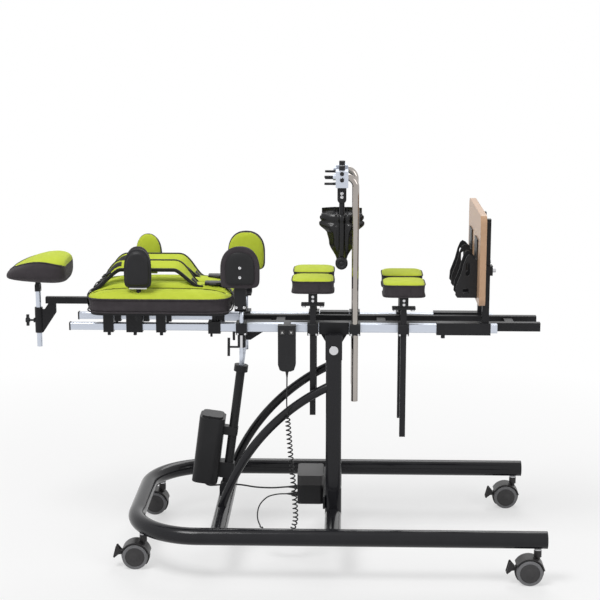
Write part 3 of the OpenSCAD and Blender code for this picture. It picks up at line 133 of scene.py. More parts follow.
def round_point(a: float, b: float, power: float, turn: float) -> Pair:
    """Gives a point of a rounded rectangle: an oval at power 2, and squarer the higher it is."""
    c, s = math.cos(turn), math.sin(turn)
    return a * math.copysign(abs(c) ** (2 / power), c), b * math.copysign(abs(s) ** (2 / power), s)


def oval(a: float, b: float, power: float, count: int) -> list[Pair]:
    """Gives a whole rounded rectangle of evenly turned points."""
    return [round_point(a, b, power, turn) for turn in turns(count)]


def circle(middle: Vector, side: Vector, up: Vector, radius: float, count: int) -> Ring:
    """Gives a ring of points round a place in the plane of two directions."""
    return [tuple(middle + radius * (math.cos(a) * side + math.sin(a) * up)) for a in turns(count)]


def straight(first: Point, last: Point, steps: int) -> list[Point]:
    """Gives evenly spaced points from one place to another."""
    start, reach = Vector(first), Vector(last) - Vector(first)
    return [tuple(start + reach * (i / steps)) for i in range(steps + 1)]


def stacked(side: float, crown: float, gusset: Sequence[Pair], top: Sequence[Pair]) -> list[Pair]:
    """Gives the heights and shares of a pad's rings, first up its side and then over its crown."""
    return [(side * h, share) for h, share in gusset] + [(side + crown * h, share) for h, share in top]


class Groups:
    """The shader node groups that the finishes share."""

    _made: dict[str, bpy.types.NodeTree] = {}

    @staticmethod
    def _start(name: str, inputs: dict[str, float], outputs: Sequence[str]) -> bpy.types.NodeTree:
        """Makes an empty group with number sockets.

        Args:
            name: Name of the group.
            inputs: Each input's default by its name.
            outputs: Names of the outputs.

        Returns:
            The new node tree, with its two ends placed.
        """
        tree = bpy.data.node_groups.new(name, "ShaderNodeTree")
        for label, value in inputs.items():
            socket = tree.interface.new_socket(label, in_out="INPUT", socket_type="NodeSocketFloat")
            socket.default_value = value
        for label in outputs:
            tree.interface.new_socket(label, in_out="OUTPUT", socket_type="NodeSocketFloat")
        tree.nodes.new("NodeGroupInput").name = "in"
        tree.nodes.new("NodeGroupOutput").name = "out"
        return tree

    @staticmethod
    def _feed(tree: bpy.types.NodeTree, value: object, socket: bpy.types.NodeSocket) -> None:
        """Links a socket to an input, or sets a number on it.

        Args:
            tree: The group that both are in.
            value: The socket or number.
            socket: The input.
        """
        if isinstance(value, bpy.types.NodeSocket):
            tree.links.new(value, socket)
        else:
            socket.default_value = value

    @classmethod
    def _math(cls, tree: bpy.types.NodeTree, kind: str, *values: object) -> bpy.types.NodeSocket:
        """Adds a math node.

        Args:
            tree: The group it goes into.
            kind: The operation.
            values: Sockets or numbers for its inputs.

        Returns:
            The node's output.
        """
        node = tree.nodes.new("ShaderNodeMath")
        node.operation = kind
        for value, socket in zip(values, node.inputs):
            cls._feed(tree, value, socket)
        return node.outputs[0]

    @staticmethod
    def _place(tree: bpy.types.NodeTree, stretch: Point = (1.0, 1.0, 1.0)) -> bpy.types.NodeSocket:
        """Adds the part's own coordinates, stretched.

        Args:
            tree: The group it goes into.
            stretch: Factor of each axis.

        Returns:
            The coordinates.
        """
        where = tree.nodes.new("ShaderNodeTexCoord")
        mapping = tree.nodes.new("ShaderNodeMapping")
        mapping.inputs["Scale"].default_value = stretch
        tree.links.new(where.outputs["Object"], mapping.inputs["Vector"])
        return mapping.outputs["Vector"]

    @classmethod
    def _noise(cls, tree: bpy.types.NodeTree, scale: object, detail: float,
               stretch: Point = (1.0, 1.0, 1.0)) -> bpy.types.NodeSocket:
        """Adds a noise texture.

        Args:
            tree: The group it goes into.
            scale: Socket or number of the scale.
            detail: Detail of the noise.
            stretch: Factor of each axis.

        Returns:
            The noise's value.
        """
        node = tree.nodes.new("ShaderNodeTexNoise")
        node.inputs["Detail"].default_value = detail
        tree.links.new(cls._place(tree, stretch), node.inputs["Vector"])
        cls._feed(tree, scale, node.inputs["Scale"])
        return node.outputs["Fac"]

    @classmethod
    def _threads(cls, tree: bpy.types.NodeTree, scale: bpy.types.NodeSocket) -> bpy.types.NodeSocket:
        """Adds the crossing threads of a weave.

        Args:
            tree: The group they go into.
            scale: Threads per metre, in radians.

        Returns:
            The height of the weave.
        """
        split = tree.nodes.new("ShaderNodeSeparateXYZ")
        tree.links.new(cls._place(tree), split.inputs[0])
        waves = [cls._math(tree, "SINE", cls._math(tree, "MULTIPLY", axis, scale)) for axis in split.outputs]
        x, y, z = (cls._math(tree, "ABSOLUTE", wave) for wave in waves)
        return cls._math(tree, "MULTIPLY", cls._math(tree, "ADD", cls._math(tree, "ADD", x, y), z), 0.33)

    @classmethod
    def texture(cls, kind: Texture) -> bpy.types.NodeTree:
        """Gives the group of a fine structure.

        Args:
            kind: The structure.

        Returns:
            A group with input Scale, and outputs Height and Shade.
        """
        if kind.value in cls._made:
            return cls._made[kind.value]
        tree = cls._start(kind.value, {"Scale": 400.0}, ["Height", "Shade"])
        scale = tree.nodes["in"].outputs["Scale"]
        if kind is Texture.WEAVE:
            height = cls._threads(tree, scale)
            shade = cls._noise(tree, 45.0, 3.0)
        elif kind is Texture.WOOD:
            height = cls._noise(tree, scale, 3.0, (14.0, 0.7, 14.0))
            rings = cls._noise(tree, scale, 6.0, (3.0, 0.25, 3.0))
            shade = cls._math(tree, "MULTIPLY", cls._math(tree, "ADD", rings, height), 0.5)
        elif kind is Texture.BRUSHED:
            height = cls._noise(tree, scale, 2.0, (0.02, 1.0, 1.0))
            shade = cls._noise(tree, 60.0, 2.0, (0.05, 1.0, 1.0))
        else:
            height = cls._noise(tree, scale, 4.0)
            shade = cls._noise(tree, 14.0, 3.0)
        for label, value in (("Height", height), ("Shade", shade)):
            tree.links.new(value, tree.nodes["out"].inputs[label])
        cls._made[kind.value] = tree
        return tree

    @classmethod
    def span(cls) -> bpy.types.NodeTree:
        """Gives the group that spreads a share between two values.

        Returns:
            A group with inputs Share, Low and High, and output Value.
        """
        if "span" not in cls._made:
            tree = cls._start("span", {"Share": 0.5, "Low": 0.3, "High": 0.5}, ["Value"])
            ends = tree.nodes["in"].outputs
            reach = cls._math(tree, "SUBTRACT", ends["High"], ends["Low"])
            value = cls._math(tree, "ADD", cls._math(tree, "MULTIPLY", reach, ends["Share"]), ends["Low"])
            tree.links.new(value, tree.nodes["out"].inputs["Value"])
            cls._made["span"] = tree
        return cls._made["span"]


@dataclass(frozen=True)
class Finish:
    """One surface finish.

    Attributes:
        name: Name of the material.
        slot: Name of the record's slot for this finish; not used.
        colour: Main colour, linear.
        shade: Second colour that the structure mixes in.
        rough: Lowest and highest roughness.
        texture: Fine structure.
        scale: Scale of the structure, per metre.
        bump: Depth of the structure in metres.
        metallic: Metal share.
        specular: Strength of its plain reflection.
        coat: Clear coat.
        sheen: Fabric sheen.
        soften: Radius by which edges look rounded, in metres.
    """

    name: str
    slot: str
    colour: Point
    shade: Point
    rough: Pair
    texture: Texture = Texture.GRAIN
    scale: float = 900.0
    bump: float = 0.00004
    metallic: float = 0.0
    specular: float = 0.5
    coat: float = 0.0
    sheen: float = 0.0
    soften: float = 0.0

    def material(self) -> bpy.types.Material:
        """Builds the material once.

        Returns:
            The material.
        """
        found = bpy.data.materials.get(self.name)
        if found:
            return found
        made = bpy.data.materials.new(self.name)
        made.use_nodes = True
        nodes, links = made.node_tree.nodes, made.node_tree.links
        shader = nodes["Principled BSDF"]
        for label, value in (
            ("Metallic", self.metallic), ("Specular IOR Level", self.specular), ("Coat Weight", self.coat),
            ("Coat Roughness", 0.08), ("Sheen Weight", self.sheen), ("Sheen Roughness", 0.5),
        ):
            shader.inputs[label].default_value = value
        fine = nodes.new("ShaderNodeGroup")
        fine.node_tree = Groups.texture(self.texture)
        fine.inputs["Scale"].default_value = self.scale
        mix = nodes.new("ShaderNodeMix")
        mix.data_type = "RGBA"
        mix.inputs["A"].default_value = (*self.colour, 1)
        mix.inputs["B"].default_value = (*self.shade, 1)
        links.new(fine.outputs["Shade"], mix.inputs["Factor"])
        links.new(mix.outputs["Result"], shader.inputs["Base Color"])
        span = nodes.new("ShaderNodeGroup")
        span.node_tree = Groups.span()
        span.inputs["Low"].default_value, span.inputs["High"].default_value = self.rough
        links.new(fine.outputs["Shade"], span.inputs["Share"])
        links.new(span.outputs["Value"], shader.inputs["Roughness"])
        bump = nodes.new("ShaderNodeBump")
        bump.inputs["Distance"].default_value = self.bump
        links.new(fine.outputs["Height"], bump.inputs["Height"])
        if self.soften:
            edge_round = nodes.new("ShaderNodeBevel")
            edge_round.samples = 4
            edge_round.inputs["Radius"].default_value = self.soften
            links.new(edge_round.outputs["Normal"], bump.inputs["Normal"])
        links.new(bump.outputs["Normal"], shader.inputs["Normal"])
        return made


GLOSS_BLACK = Finish(
    "gloss_black_paint", "gloss_black", (0.008, 0.008, 0.010), (0.015, 0.015, 0.018), (0.14, 0.26),
    scale=700.0, bump=0.00002, specular=0.2, coat=0.15, soften=0.0012)
SATIN_BLACK = Finish(
    "satin_black_paint", "satin_black", (0.011, 0.011, 0.012), (0.020, 0.020, 0.023), (0.32, 0.46),
    scale=1100.0, specular=0.22, soften=0.0008)
SILVER = Finish(
    "silver_anodised", "silver", (0.54, 0.58, 0.66), (0.66, 0.70, 0.78), (0.24, 0.38), Texture.BRUSHED,
    scale=1800.0, bump=0.00002, metallic=1.0, soften=0.0008)
# Chrome darkened and warmed in its colour as a painted reflection of dark surroundings.
CHROME_AND_PAINTED_REFLECTION = Finish(
    "polished_chrome", "chrome", (0.34, 0.31, 0.29), (0.46, 0.43, 0.40), (0.05, 0.12),
    scale=30.0, bump=0.00001, metallic=1.0, soften=0.0008)
STEEL = Finish(
    "bright_steel", "silver", (0.55, 0.55, 0.57), (0.70, 0.70, 0.72), (0.18, 0.32),
    scale=300.0, bump=0.00001, metallic=1.0, soften=0.0005)
MOULDED = Finish(
    "moulded_black", "black_plastic", (0.012, 0.012, 0.013), (0.022, 0.022, 0.024), (0.36, 0.5),
    scale=1600.0, bump=0.00005, specular=0.25, soften=0.0012)
GLOSSY = Finish(
    "glossy_moulding", "gloss_plastic", (0.005, 0.005, 0.006), (0.009, 0.009, 0.010), (0.22, 0.32),
    scale=500.0, bump=0.00002, specular=0.3, coat=0.1, soften=0.001)
TAUPE = Finish(
    "taupe_moulding", "grey_plastic", (0.020, 0.019, 0.020), (0.034, 0.032, 0.033), (0.32, 0.46),
    scale=1500.0, specular=0.3, soften=0.001)
GREY_LID = Finish(
    "grey_moulding", "grey_plastic", (0.042, 0.041, 0.042), (0.062, 0.060, 0.062), (0.4, 0.55),
    scale=1500.0, bump=0.00005, specular=0.3, soften=0.0015)
TREAD = Finish(
    "grey_tread", "tyre_grey", (0.15, 0.15, 0.155), (0.22, 0.22, 0.23), (0.5, 0.7),
    scale=700.0, bump=0.00005, specular=0.3, soften=0.0008)
LIME = Finish(
    "lime_cover", "lime_fabric", (0.51, 0.61, 0.036), (0.61, 0.71, 0.072), (0.75, 0.9), Texture.WEAVE,
    scale=3600.0, bump=0.00025, specular=0.2, sheen=0.1)
# Dark green of the stitch threads, also painted over the channel faces as shade.
THREAD_AND_CHANNEL_SHADE = Finish(
    "seam_thread", "lime_fabric", (0.070, 0.082, 0.008), (0.11, 0.13, 0.012), (0.7, 0.85), Texture.WEAVE,
    scale=5200.0, bump=0.0002, specular=0.2)
CHARCOAL = Finish(
    "charcoal_cover", "charcoal_fabric", (0.035, 0.030, 0.034), (0.064, 0.056, 0.062), (0.8, 0.95),
    Texture.WEAVE, scale=3600.0, bump=0.00025, specular=0.2, sheen=0.1)
WEBBING = Finish(
    "black_webbing", "charcoal_fabric", (0.010, 0.010, 0.011), (0.022, 0.022, 0.024), (0.6, 0.75),
    Texture.WEAVE, scale=2400.0, bump=0.0003, specular=0.2, sheen=0.1)
CORD = Finish(
    "cord_jacket", "cord_black", (0.010, 0.010, 0.011), (0.018, 0.018, 0.02), (0.35, 0.5),
    scale=800.0, bump=0.00003, specular=0.25)
BEECH = Finish(
    "beech_board", "beech", (0.48, 0.28, 0.155), (0.60, 0.40, 0.27), (0.32, 0.45), Texture.WOOD,
    scale=26.0, bump=0.00006, specular=0.3, coat=0.1, soften=0.0025)
PRINT = Finish(
    "pale_print", "grey_plastic", (0.62, 0.62, 0.6), (0.74, 0.74, 0.72), (0.4, 0.5), bump=0.00001)


class Maker:
    """Turns points into mesh pieces.

    Attributes:
        band: Section of a flat band, in shares of half its width and thickness.
    """

    band: tuple[Pair, ...] = (
        (1, 0.6), (0.92, 1), (-0.92, 1), (-1, 0.6), (-1, -0.6), (-0.92, -1), (0.92, -1), (1, -0.6))

    @staticmethod
    def from_bmesh(name: str, mesh: bmesh.types.BMesh, finish: Finish,
                   smooth: bool = True) -> bpy.types.Object:
        """Makes an object of a bmesh.

        Args:
            name: Name of the piece.
            mesh: Its mesh, which is used up.
            finish: Its finish.
            smooth: Whether it is shaded smooth.

        Returns:
            The linked object.
        """
        bmesh.ops.recalc_face_normals(mesh, faces=mesh.faces)
        data = bpy.data.meshes.new(name)
        mesh.to_mesh(data)
        mesh.free()
        for face in data.polygons:
            face.use_smooth = smooth
        piece = bpy.data.objects.new(name, data)
        bpy.context.collection.objects.link(piece)
        data.materials.append(finish.material())
        return piece

    @staticmethod
    def loft(name: str, rings: Sequence[Ring], finish: Finish, closed: bool = False) -> bpy.types.Object:
        """Joins rings of points into one surface.

        Args:
            name: Name of the piece.
            rings: Rings with equal counts of points.
            finish: Its finish.
            closed: Whether the last ring joins the first, instead of both being capped.

        Returns:
            The piece.
        """
        mesh = bmesh.new()
        rows = [[mesh.verts.new(point) for point in ring] for ring in rings]
        count = len(rows[0])
        for low, high in zip(rows, rows[1:] + (rows[:1] if closed else [])):
            for i in range(count):
                k = (i + 1) % count
                mesh.faces.new((low[i], low[k], high[k], high[i]))
        if not closed:
            for row in (rows[0], rows[-1]):
                middle = mesh.verts.new(sum((v.co for v in row), Vector()) / count)
                for i in range(count):
                    mesh.faces.new((row[i], row[(i + 1) % count], middle))
        return Maker.from_bmesh(name, mesh, finish)

    @staticmethod
    def tube(name: str, points: Sequence[Point], radius: float | Sequence[float], finish: Finish,
             sides: int, closed: bool = False) -> bpy.types.Object:
        """Makes a round tube along points.

        Args:
            name: Name of the piece.
            points: Its centre line.
            radius: Its radius, or the radius at each point.
            finish: Its finish.
            sides: Sides of its section.
            closed: Whether it is a loop.

        Returns:
            The piece.
        """
        line = [Vector(p) for p in points]
        last = len(line) - 1
        sizes = [radius] * len(line) if isinstance(radius, float) else radius
        side = None
        rings: list[Ring] = []
        for i, here in enumerate(line):
            after = line[(i + 1) % len(line)] if closed else line[min(i + 1, last)]
            before = line[i - 1] if closed else line[max(i - 1, 0)]
            along = (after - before).normalized()
            side = along.orthogonal() if side is None else side
            side = (side - along * side.dot(along)).normalized()
            rings.append(circle(here, side, along.cross(side), sizes[i], sides))
        return Maker.loft(name, rings, finish, closed)

    @staticmethod
    def ribbon(name: str, points: Sequence[Point], across: Sequence[Point], size: Pair,
               finish: Finish) -> bpy.types.Object:
        """Makes a flat band along points.

        Args:
            name: Name of the piece.
            points: Its centre line.
            across: Direction of its width at each point, or one for all of them.
            size: Its width and thickness.
            finish: Its finish.

        Returns:
            The piece.
        """
        width, thick = size
        line = [Vector(p) for p in points]
        rings: list[Ring] = []
        for i, here in enumerate(line):
            wide = Vector(across[min(i, len(across) - 1)]).normalized()
            along = (line[min(i + 1, len(line) - 1)] - line[max(i - 1, 0)]).normalized()
            up = along.cross(wide).normalized()
            rings.append([tuple(here + wide * (a * width / 2) + up * (b * thick / 2)) for a, b in Maker.band])
        return Maker.loft(name, rings, finish)

    @staticmethod
    def slab(name: str, low: Point, high: Point, finish: Finish, bevel: float) -> bpy.types.Object:
        """Makes a block with rounded edges.

        Args:
            name: Name of the piece.
            low: Its lowest corner.
            high: Its highest corner.
            finish: Its finish.
            bevel: Radius of its edges.

        Returns:
            The piece.
        """
        mesh = bmesh.new()
        bmesh.ops.create_cube(mesh, size=1)
        for vert in mesh.verts:
            vert.co = Vector([lo + (hi - lo) * (c + 0.5) for lo, hi, c in zip(low, high, vert.co)])
        bmesh.ops.bevel(mesh, geom=mesh.edges[:], offset=bevel, segments=3, profile=0.5, affect="EDGES")
        return Maker.from_bmesh(name, mesh, finish, smooth=False)

    @staticmethod
    def plate(name: str, side: Side, spans: tuple[Pair, Pair, Pair], finish: Finish,
              bevel: float) -> bpy.types.Object:
        """Makes a block that is drawn on the far side and set on its own side.

        Args:
            name: Name of the piece.
            side: Its side.
            spans: Its reach along, out and up.
            finish: Its finish.
            bevel: Radius of its edges.

        Returns:
            The piece.
        """
        along, out, up = spans
        low, high = sorted(y * side.value for y in out)
        return Maker.slab(name, (along[0], low, up[0]), (along[1], high, up[1]), finish, bevel)

    @staticmethod
    def axes(facing: Point) -> tuple[Vector, Vector, Vector]:
        """Gives a direction and two others across it.

        Args:
            facing: The direction, of any length.

        Returns:
            The three directions, all of length 1.
        """
        ahead = Vector(facing).normalized()
        side = ahead.orthogonal().normalized()
        return ahead, side, ahead.cross(side)

    @staticmethod
    def turned(name: str, place: Point, facing: Point, profile: Sequence[Pair],
               finish: Finish) -> bpy.types.Object:
        """Makes a turned piece.

        Args:
            name: Name of the piece.
            place: Middle of its seat.
            facing: The way it faces.
            profile: Radius and height of each of its rings.
            finish: Its finish.

        Returns:
            The piece.
        """
        sides = 40
        ahead, side, up = Maker.axes(facing)
        rings = [circle(Vector(place) + ahead * h, side, up, r, sides) for r, h in profile]
        return Maker.loft(name, rings, finish)

    @staticmethod
    def bolt(name: str, place: Point, facing: Point, radius: float, height: float,
             finish: Finish) -> bpy.types.Object:
        """Makes a round bolt head with a six-sided socket.

        Args:
            name: Name of the piece.
            place: Middle of its seat.
            facing: The way it faces.
            radius: Its radius.
            height: Its height.
            finish: Its finish.

        Returns:
            The piece.
        """
        sides, sector = 24, math.pi / 3
        head = ((1.0, 0.0), (1.0, 0.75), (0.88, 1.0))
        socket = ((0.52, 1.0), (0.5, 0.35))
        ahead, side, up = Maker.axes(facing)
        rings = [circle(Vector(place) + ahead * (height * h), side, up, radius * r, sides) for r, h in head]
        flats = [(a, math.cos(sector / 2) / math.cos(a % sector - sector / 2)) for a in turns(sides)]
        for r, h in socket:
            middle = Vector(place) + ahead * (height * h)
            rings.append([
                tuple(middle + radius * r * flat * (math.cos(a) * side + math.sin(a) * up))
                for a, flat in flats
            ])
        return Maker.loft(name, rings, finish)


class Upholstery:
    """Swells padded pieces with a cloth simulation and covers them.

    Attributes:
        frames: Steps of the simulation.
        fabric: Settings of the simulated cloth.
    """

    frames: int = 18
    fabric: dict[str, float] = {
        "quality": 4, "mass": 0.2, "tension_stiffness": 25, "compression_stiffness": 25,
        "bending_stiffness": 1.5,
    }

    @staticmethod
    def settle(piece: bpy.types.Object) -> None:
        """Applies every modifier of a piece by taking over its evaluated mesh.

        Args:
            piece: The piece.
        """
        graph = bpy.context.evaluated_depsgraph_get()
        shown = bpy.data.meshes.new_from_object(piece.evaluated_get(graph))
        piece.modifiers.clear()
        piece.data = shown

    @staticmethod
    def remesh(piece: bpy.types.Object, voxel: float) -> None:
        """Remeshes a piece into even small faces.

        Args:
            piece: The piece.
            voxel: Size of the faces in metres.
        """
        step = piece.modifiers.new("even", "REMESH")
        step.mode = "VOXEL"
        step.voxel_size = voxel
        Upholstery.settle(piece)

    @classmethod
    def swell(cls, piece: bpy.types.Object, pressure: float, cap: float,
              held: Callable[[Vector], bool]) -> None:
        """Blows a piece up as cloth, with its seams held.

        Args:
            piece: The piece, already of small faces.
            pressure: Pressure inside it.
            cap: How far a point may move, in metres.
            held: Tells whether a point is held.
        """
        start = [v.co.copy() for v in piece.data.vertices]
        group = piece.vertex_groups.new(name="held")
        group.add([i for i, co in enumerate(start) if held(co)], 1.0, "REPLACE")
        cloth = piece.modifiers.new("cover", "CLOTH")
        for label, value in cls.fabric.items():
            setattr(cloth.settings, label, value)
        cloth.settings.use_pressure = True
        cloth.settings.uniform_pressure_force = pressure
        cloth.settings.effector_weights.gravity = 0
        cloth.settings.vertex_group_mass = "held"
        cloth.collision_settings.use_self_collision = False
        cloth.point_cache.frame_start, cloth.point_cache.frame_end = 1, cls.frames
        scene = bpy.context.scene
        for frame in range(1, cls.frames + 1):
            scene.frame_set(frame)
        graph = bpy.context.evaluated_depsgraph_get()
        moved = [v.co.copy() for v in piece.evaluated_get(graph).data.vertices]
        piece.modifiers.clear()
        scene.frame_set(1)
        for vert, a, b in zip(piece.data.vertices, start, moved):
            shift = b - a
            if shift.length > cap:
                shift *= cap / shift.length
            vert.co = a + shift
        piece.vertex_groups.clear()

    @staticmethod
    def smooth(piece: bpy.types.Object, finish: Finish) -> None:
        """Subdivides a piece, shades it smooth and gives it one finish.

        Args:
            piece: The piece.
            finish: Its finish.
        """
        step = piece.modifiers.new("smooth", "SUBSURF")
        step.levels = step.render_levels = 1
        Upholstery.settle(piece)
        piece.data.materials.clear()
        piece.data.materials.append(finish.material())
        for face in piece.data.polygons:
            face.material_index = 0
            face.use_smooth = True

    @staticmethod
    def cover(piece: bpy.types.Object, finish: Finish, wanted: Wanted) -> None:
        """Gives part of a piece a second finish.

        Args:
            piece: The piece.
            finish: The second finish.
            wanted: Tells from a face's middle and normal whether it takes it.
        """
        index = len(piece.data.materials)
        piece.data.materials.append(finish.material())
        for face in piece.data.polygons:
            if wanted(face.center, face.normal):
                face.material_index = index

    @staticmethod
    def two_tone(piece: bpy.types.Object, lime: Wanted) -> None:
        """Smooths a pad and covers it in charcoal and, where wanted, in lime."""
        Upholstery.smooth(piece, CHARCOAL)
        Upholstery.cover(piece, LIME, lime)


def put(piece: bpy.types.Object, place: Point, body: str, *nodes: str) -> None:
    """Moves a piece's points to their place and lets it ride.

    Args:
        piece: The piece.
        place: How far its points move.
        body: The body that it rides on.
        nodes: The nodes that it stands for.
    """
    for vert in piece.data.vertices:
        vert.co += Vector(place)
    if nodes:
        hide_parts(*nodes)
    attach(piece, body)


@dataclass
class Cords:
    """The curly handset cord and the motor cable, on the routes of their solids.

    Attributes:
        route: Points of the handset cord in millimetres, from the handset to the control box.
        curl_from: Share of the route where the curls begin.
        curl_to: Share of the route where the curls end.
        curl_ease: Share of the route over which the curls grow and fade.
        curls: Number of curls.
        per_curl: Points of one curl.
        curl_r: Radius of the curls.
        cord_d: Diameter of the handset cord.
        motor_route: Points of the motor cable in millimetres.
        motor_d: Diameter of the motor cable.
    """

    route: tuple[Point, ...] = (
        (43, -126, 564.6), (43, -126, 548), (43, -136, 520), (43, -152, 492), (44, -160, 460),
        (47, -162, 420), (51, -164, 370), (55, -166, 320), (60, -168, 270), (64, -170, 220),
        (68, -172, 170), (68, -172, 120), (50, -170, 82), (14, -164, 68), (-22, -154, 80),
        (-44, -138, 112), (-42, -116, 146), (-20, -90, 166), (8, -60, 166), (36, -38, 160.5), (59, -36, 160),
    )
    curl_from: float = 0.21
    curl_to: float = 0.735
    curl_ease: float = 0.03
    curls: int = 40
    per_curl: int = 16
    curl_r: float = 6.5
    cord_d: float = 4.0
    motor_route: tuple[Point, ...] = (
        (-218.5, 26, 187.6), (-219.2, 26, 183), (-216.3, 27, 172.2), (-208.2, 30, 164.1), (-197, 34, 161.2),
        (-175, 41, 160.5), (-145, 48, 160.5), (-105, 52, 157.5), (-60, 50, 151.5), (-10, 40, 153),
        (36, 30.5, 159.5), (59, 30, 160),
    )
    motor_d: float = 5.0

    @staticmethod
    def on_route(route: Sequence[Point], share: float) -> Vector:
        """Gives a point of the smooth curve through a route.

        Args:
            route: The points that it goes through.
            share: Place on it, from 0 to 1.

        Returns:
            The point, in the route's units.
        """
        last = len(route) - 1
        at = min(max(share, 0.0), 1.0) * last
        i = min(int(at), last - 1)
        t = at - i
        p1, p2 = Vector(route[i]), Vector(route[i + 1])
        p0 = Vector(route[i - 1]) if i > 0 else 2 * p1 - p2
        p3 = Vector(route[i + 2]) if i + 2 <= last else 2 * p2 - p1
        bend = 2 * p0 - 5 * p1 + 4 * p2 - p3
        sway = 3 * p1 - p0 - 3 * p2 + p3
        return 0.5 * (2 * p1 + (p2 - p0) * t + bend * t * t + sway * t ** 3)

    def curled(self, share: float) -> Vector:
        """Gives a point of the curled cord.

        Args:
            share: Place on its route.

        Returns:
            The point in metres.
        """
        step = 0.004
        here, before, after = (self.on_route(self.route, share + d) for d in (0, -step, step))
        along = (after - before).normalized()
        side = (Vector((0, 1, 0)) - along.y * along).normalized()
        up = along.cross(side)
        turn = 2 * math.pi * self.curls * (share - self.curl_from) / (self.curl_to - self.curl_from)
        grow = ease((share - self.curl_from) / self.curl_ease)
        fade = ease((self.curl_to - share) / self.curl_ease)
        out = self.curl_r * grow * fade * (math.cos(turn) * side + math.sin(turn) * up)
        return (here + out) / MM_PER_M

    @staticmethod
    def lay(name: str, node: str, line: list[Vector], diameter: float, sides: int) -> bpy.types.Object:
        """Args:
            name: Name of the piece.
            node: The node that it stands for.
            line: Its centre line in metres.
            diameter: Its diameter in metres.
            sides: Sides of its section.

        Returns:
            The cord.
        """
        cord = Maker.tube(name, line, diameter / 2, CORD, sides)
        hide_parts(node)
        return cord

    def build(self) -> None:
        """Makes both cords along their routes, with their strain reliefs."""
        lead, loop, cable_steps = 24, 40, 60
        count = self.per_curl * self.curls
        shares = [self.curl_from * i / lead for i in range(lead)]
        shares += [self.curl_from + (self.curl_to - self.curl_from) * i / count for i in range(count + 1)]
        shares += [self.curl_to + (1 - self.curl_to) * i / loop for i in range(1, loop + 1)]
        curly = [self.curled(u) for u in shares]
        cord = self.lay("handset_cord_curly", "handset_cord", curly, self.cord_d / MM_PER_M, 10)
        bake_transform(cord)
        cable_shares = [i / cable_steps for i in range(cable_steps + 1)]
        plain = [self.on_route(self.motor_route, u) / MM_PER_M for u in cable_shares]
        cable = self.lay("motor_cable_round", "motor_cable", plain, self.motor_d / MM_PER_M, 12)
        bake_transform(cable)
        self.build_boots()

    def build_boots(self) -> None:
        """Makes the tapered, ribbed strain reliefs where the cords leave their housings."""
        steps = 18
        groove = 0.45
        for name, route, first, last, wide, thin, body in (
            ("handset_boot", self.route, 0.0, 0.05, 4.6, 2.35, "tilt_frame"),
            ("handset_plug_boot", self.route, 1.0, 0.955, 5.4, 2.4, "base"),
            ("motor_boot", self.motor_route, 0.0, 0.17, 4.4, 2.9, "actuator"),
            ("motor_plug_boot", self.motor_route, 1.0, 0.92, 5.4, 2.9, "base"),
        ):
            shares = [first + (last - first) * i / steps for i in range(steps + 1)]
            line = [self.on_route(route, u) / MM_PER_M for u in shares]
            sizes = [wide + (thin - wide) * i / steps - (groove if i % 3 == 2 else 0) for i in range(steps)]
            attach(Maker.tube(name, line, [r / MM_PER_M for r in (*sizes, thin)], MOULDED, 20), body)


@dataclass
class PadShape:
    """A padded block with a gusset, a seam and a crown.

    Attributes:
        half_l: Half its length along X.
        half_w: Half its width along Y.
        side: Height of its gusset.
        crown: Rise over the seam.
        power: How square its outline is.
        voxel: Size of its small faces.
        pressure: Pressure that swells it.
        cap: How far a point may move as it swells.
        low_seam: Height of its lower seam.
        piping_r: Radius of the piping on its seams.
    """

    half_l: float
    half_w: float
    side: float
    crown: float
    power: float
    voxel: float
    pressure: float
    cap: float
    low_seam: float
    piping_r: float

    def outline(self, share: float, count: int) -> list[Pair]:
        """Gives its outline, drawn in to a share of its size."""
        return oval(self.half_l * share, self.half_w * share, self.power, count)

    def levels(self) -> list[Pair]:
        """Gives its rings, a little smaller than it swells to.

        Returns:
            The height of each ring and its share of the size.
        """
        gusset = ((0.0, 0.95), (0.1, 0.985), (0.5, 0.965), (0.9, 0.985), (1.0, 0.985))
        top = ((0.4, 0.93), (0.68, 0.8), (0.84, 0.55), (0.9, 0.25))
        return stacked(self.side, self.crown, gusset, top)

    def build(self, name: str) -> bpy.types.Object:
        """Makes the swollen pad with its seat at the origin.

        Args:
            name: Name of the piece.

        Returns:
            The piece, lime on its crown and charcoal below the seam.
        """
        rings = [[(x, y, z) for x, y in self.outline(share, 64)] for z, share in self.levels()]
        piece = Maker.loft(name, rings, CHARCOAL)
        Upholstery.remesh(piece, self.voxel)
        side, near = self.side, self.voxel * 0.8
        Upholstery.swell(piece, self.pressure, self.cap, lambda co: abs(co.z - side) < near or co.z < near)
        Upholstery.two_tone(piece, lambda m, n: m.z > side)
        return piece

    def build_piping(self, top: str, low: str, place: Point, body: str) -> None:
        """Sews piping along both seams.

        Args:
            top: Name of the upper piece.
            low: Name of the lower piece.
            place: Where the pad's origin stands.
            body: The body that both ride on.
        """
        x, y, z = place
        for name, height in ((top, self.side), (low, self.low_seam)):
            line = [(x + a, y + b, z + height) for a, b in self.outline(0.99, 120)]
            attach(Maker.tube(name, line, self.piping_r, CHARCOAL, 8, closed=True), body)


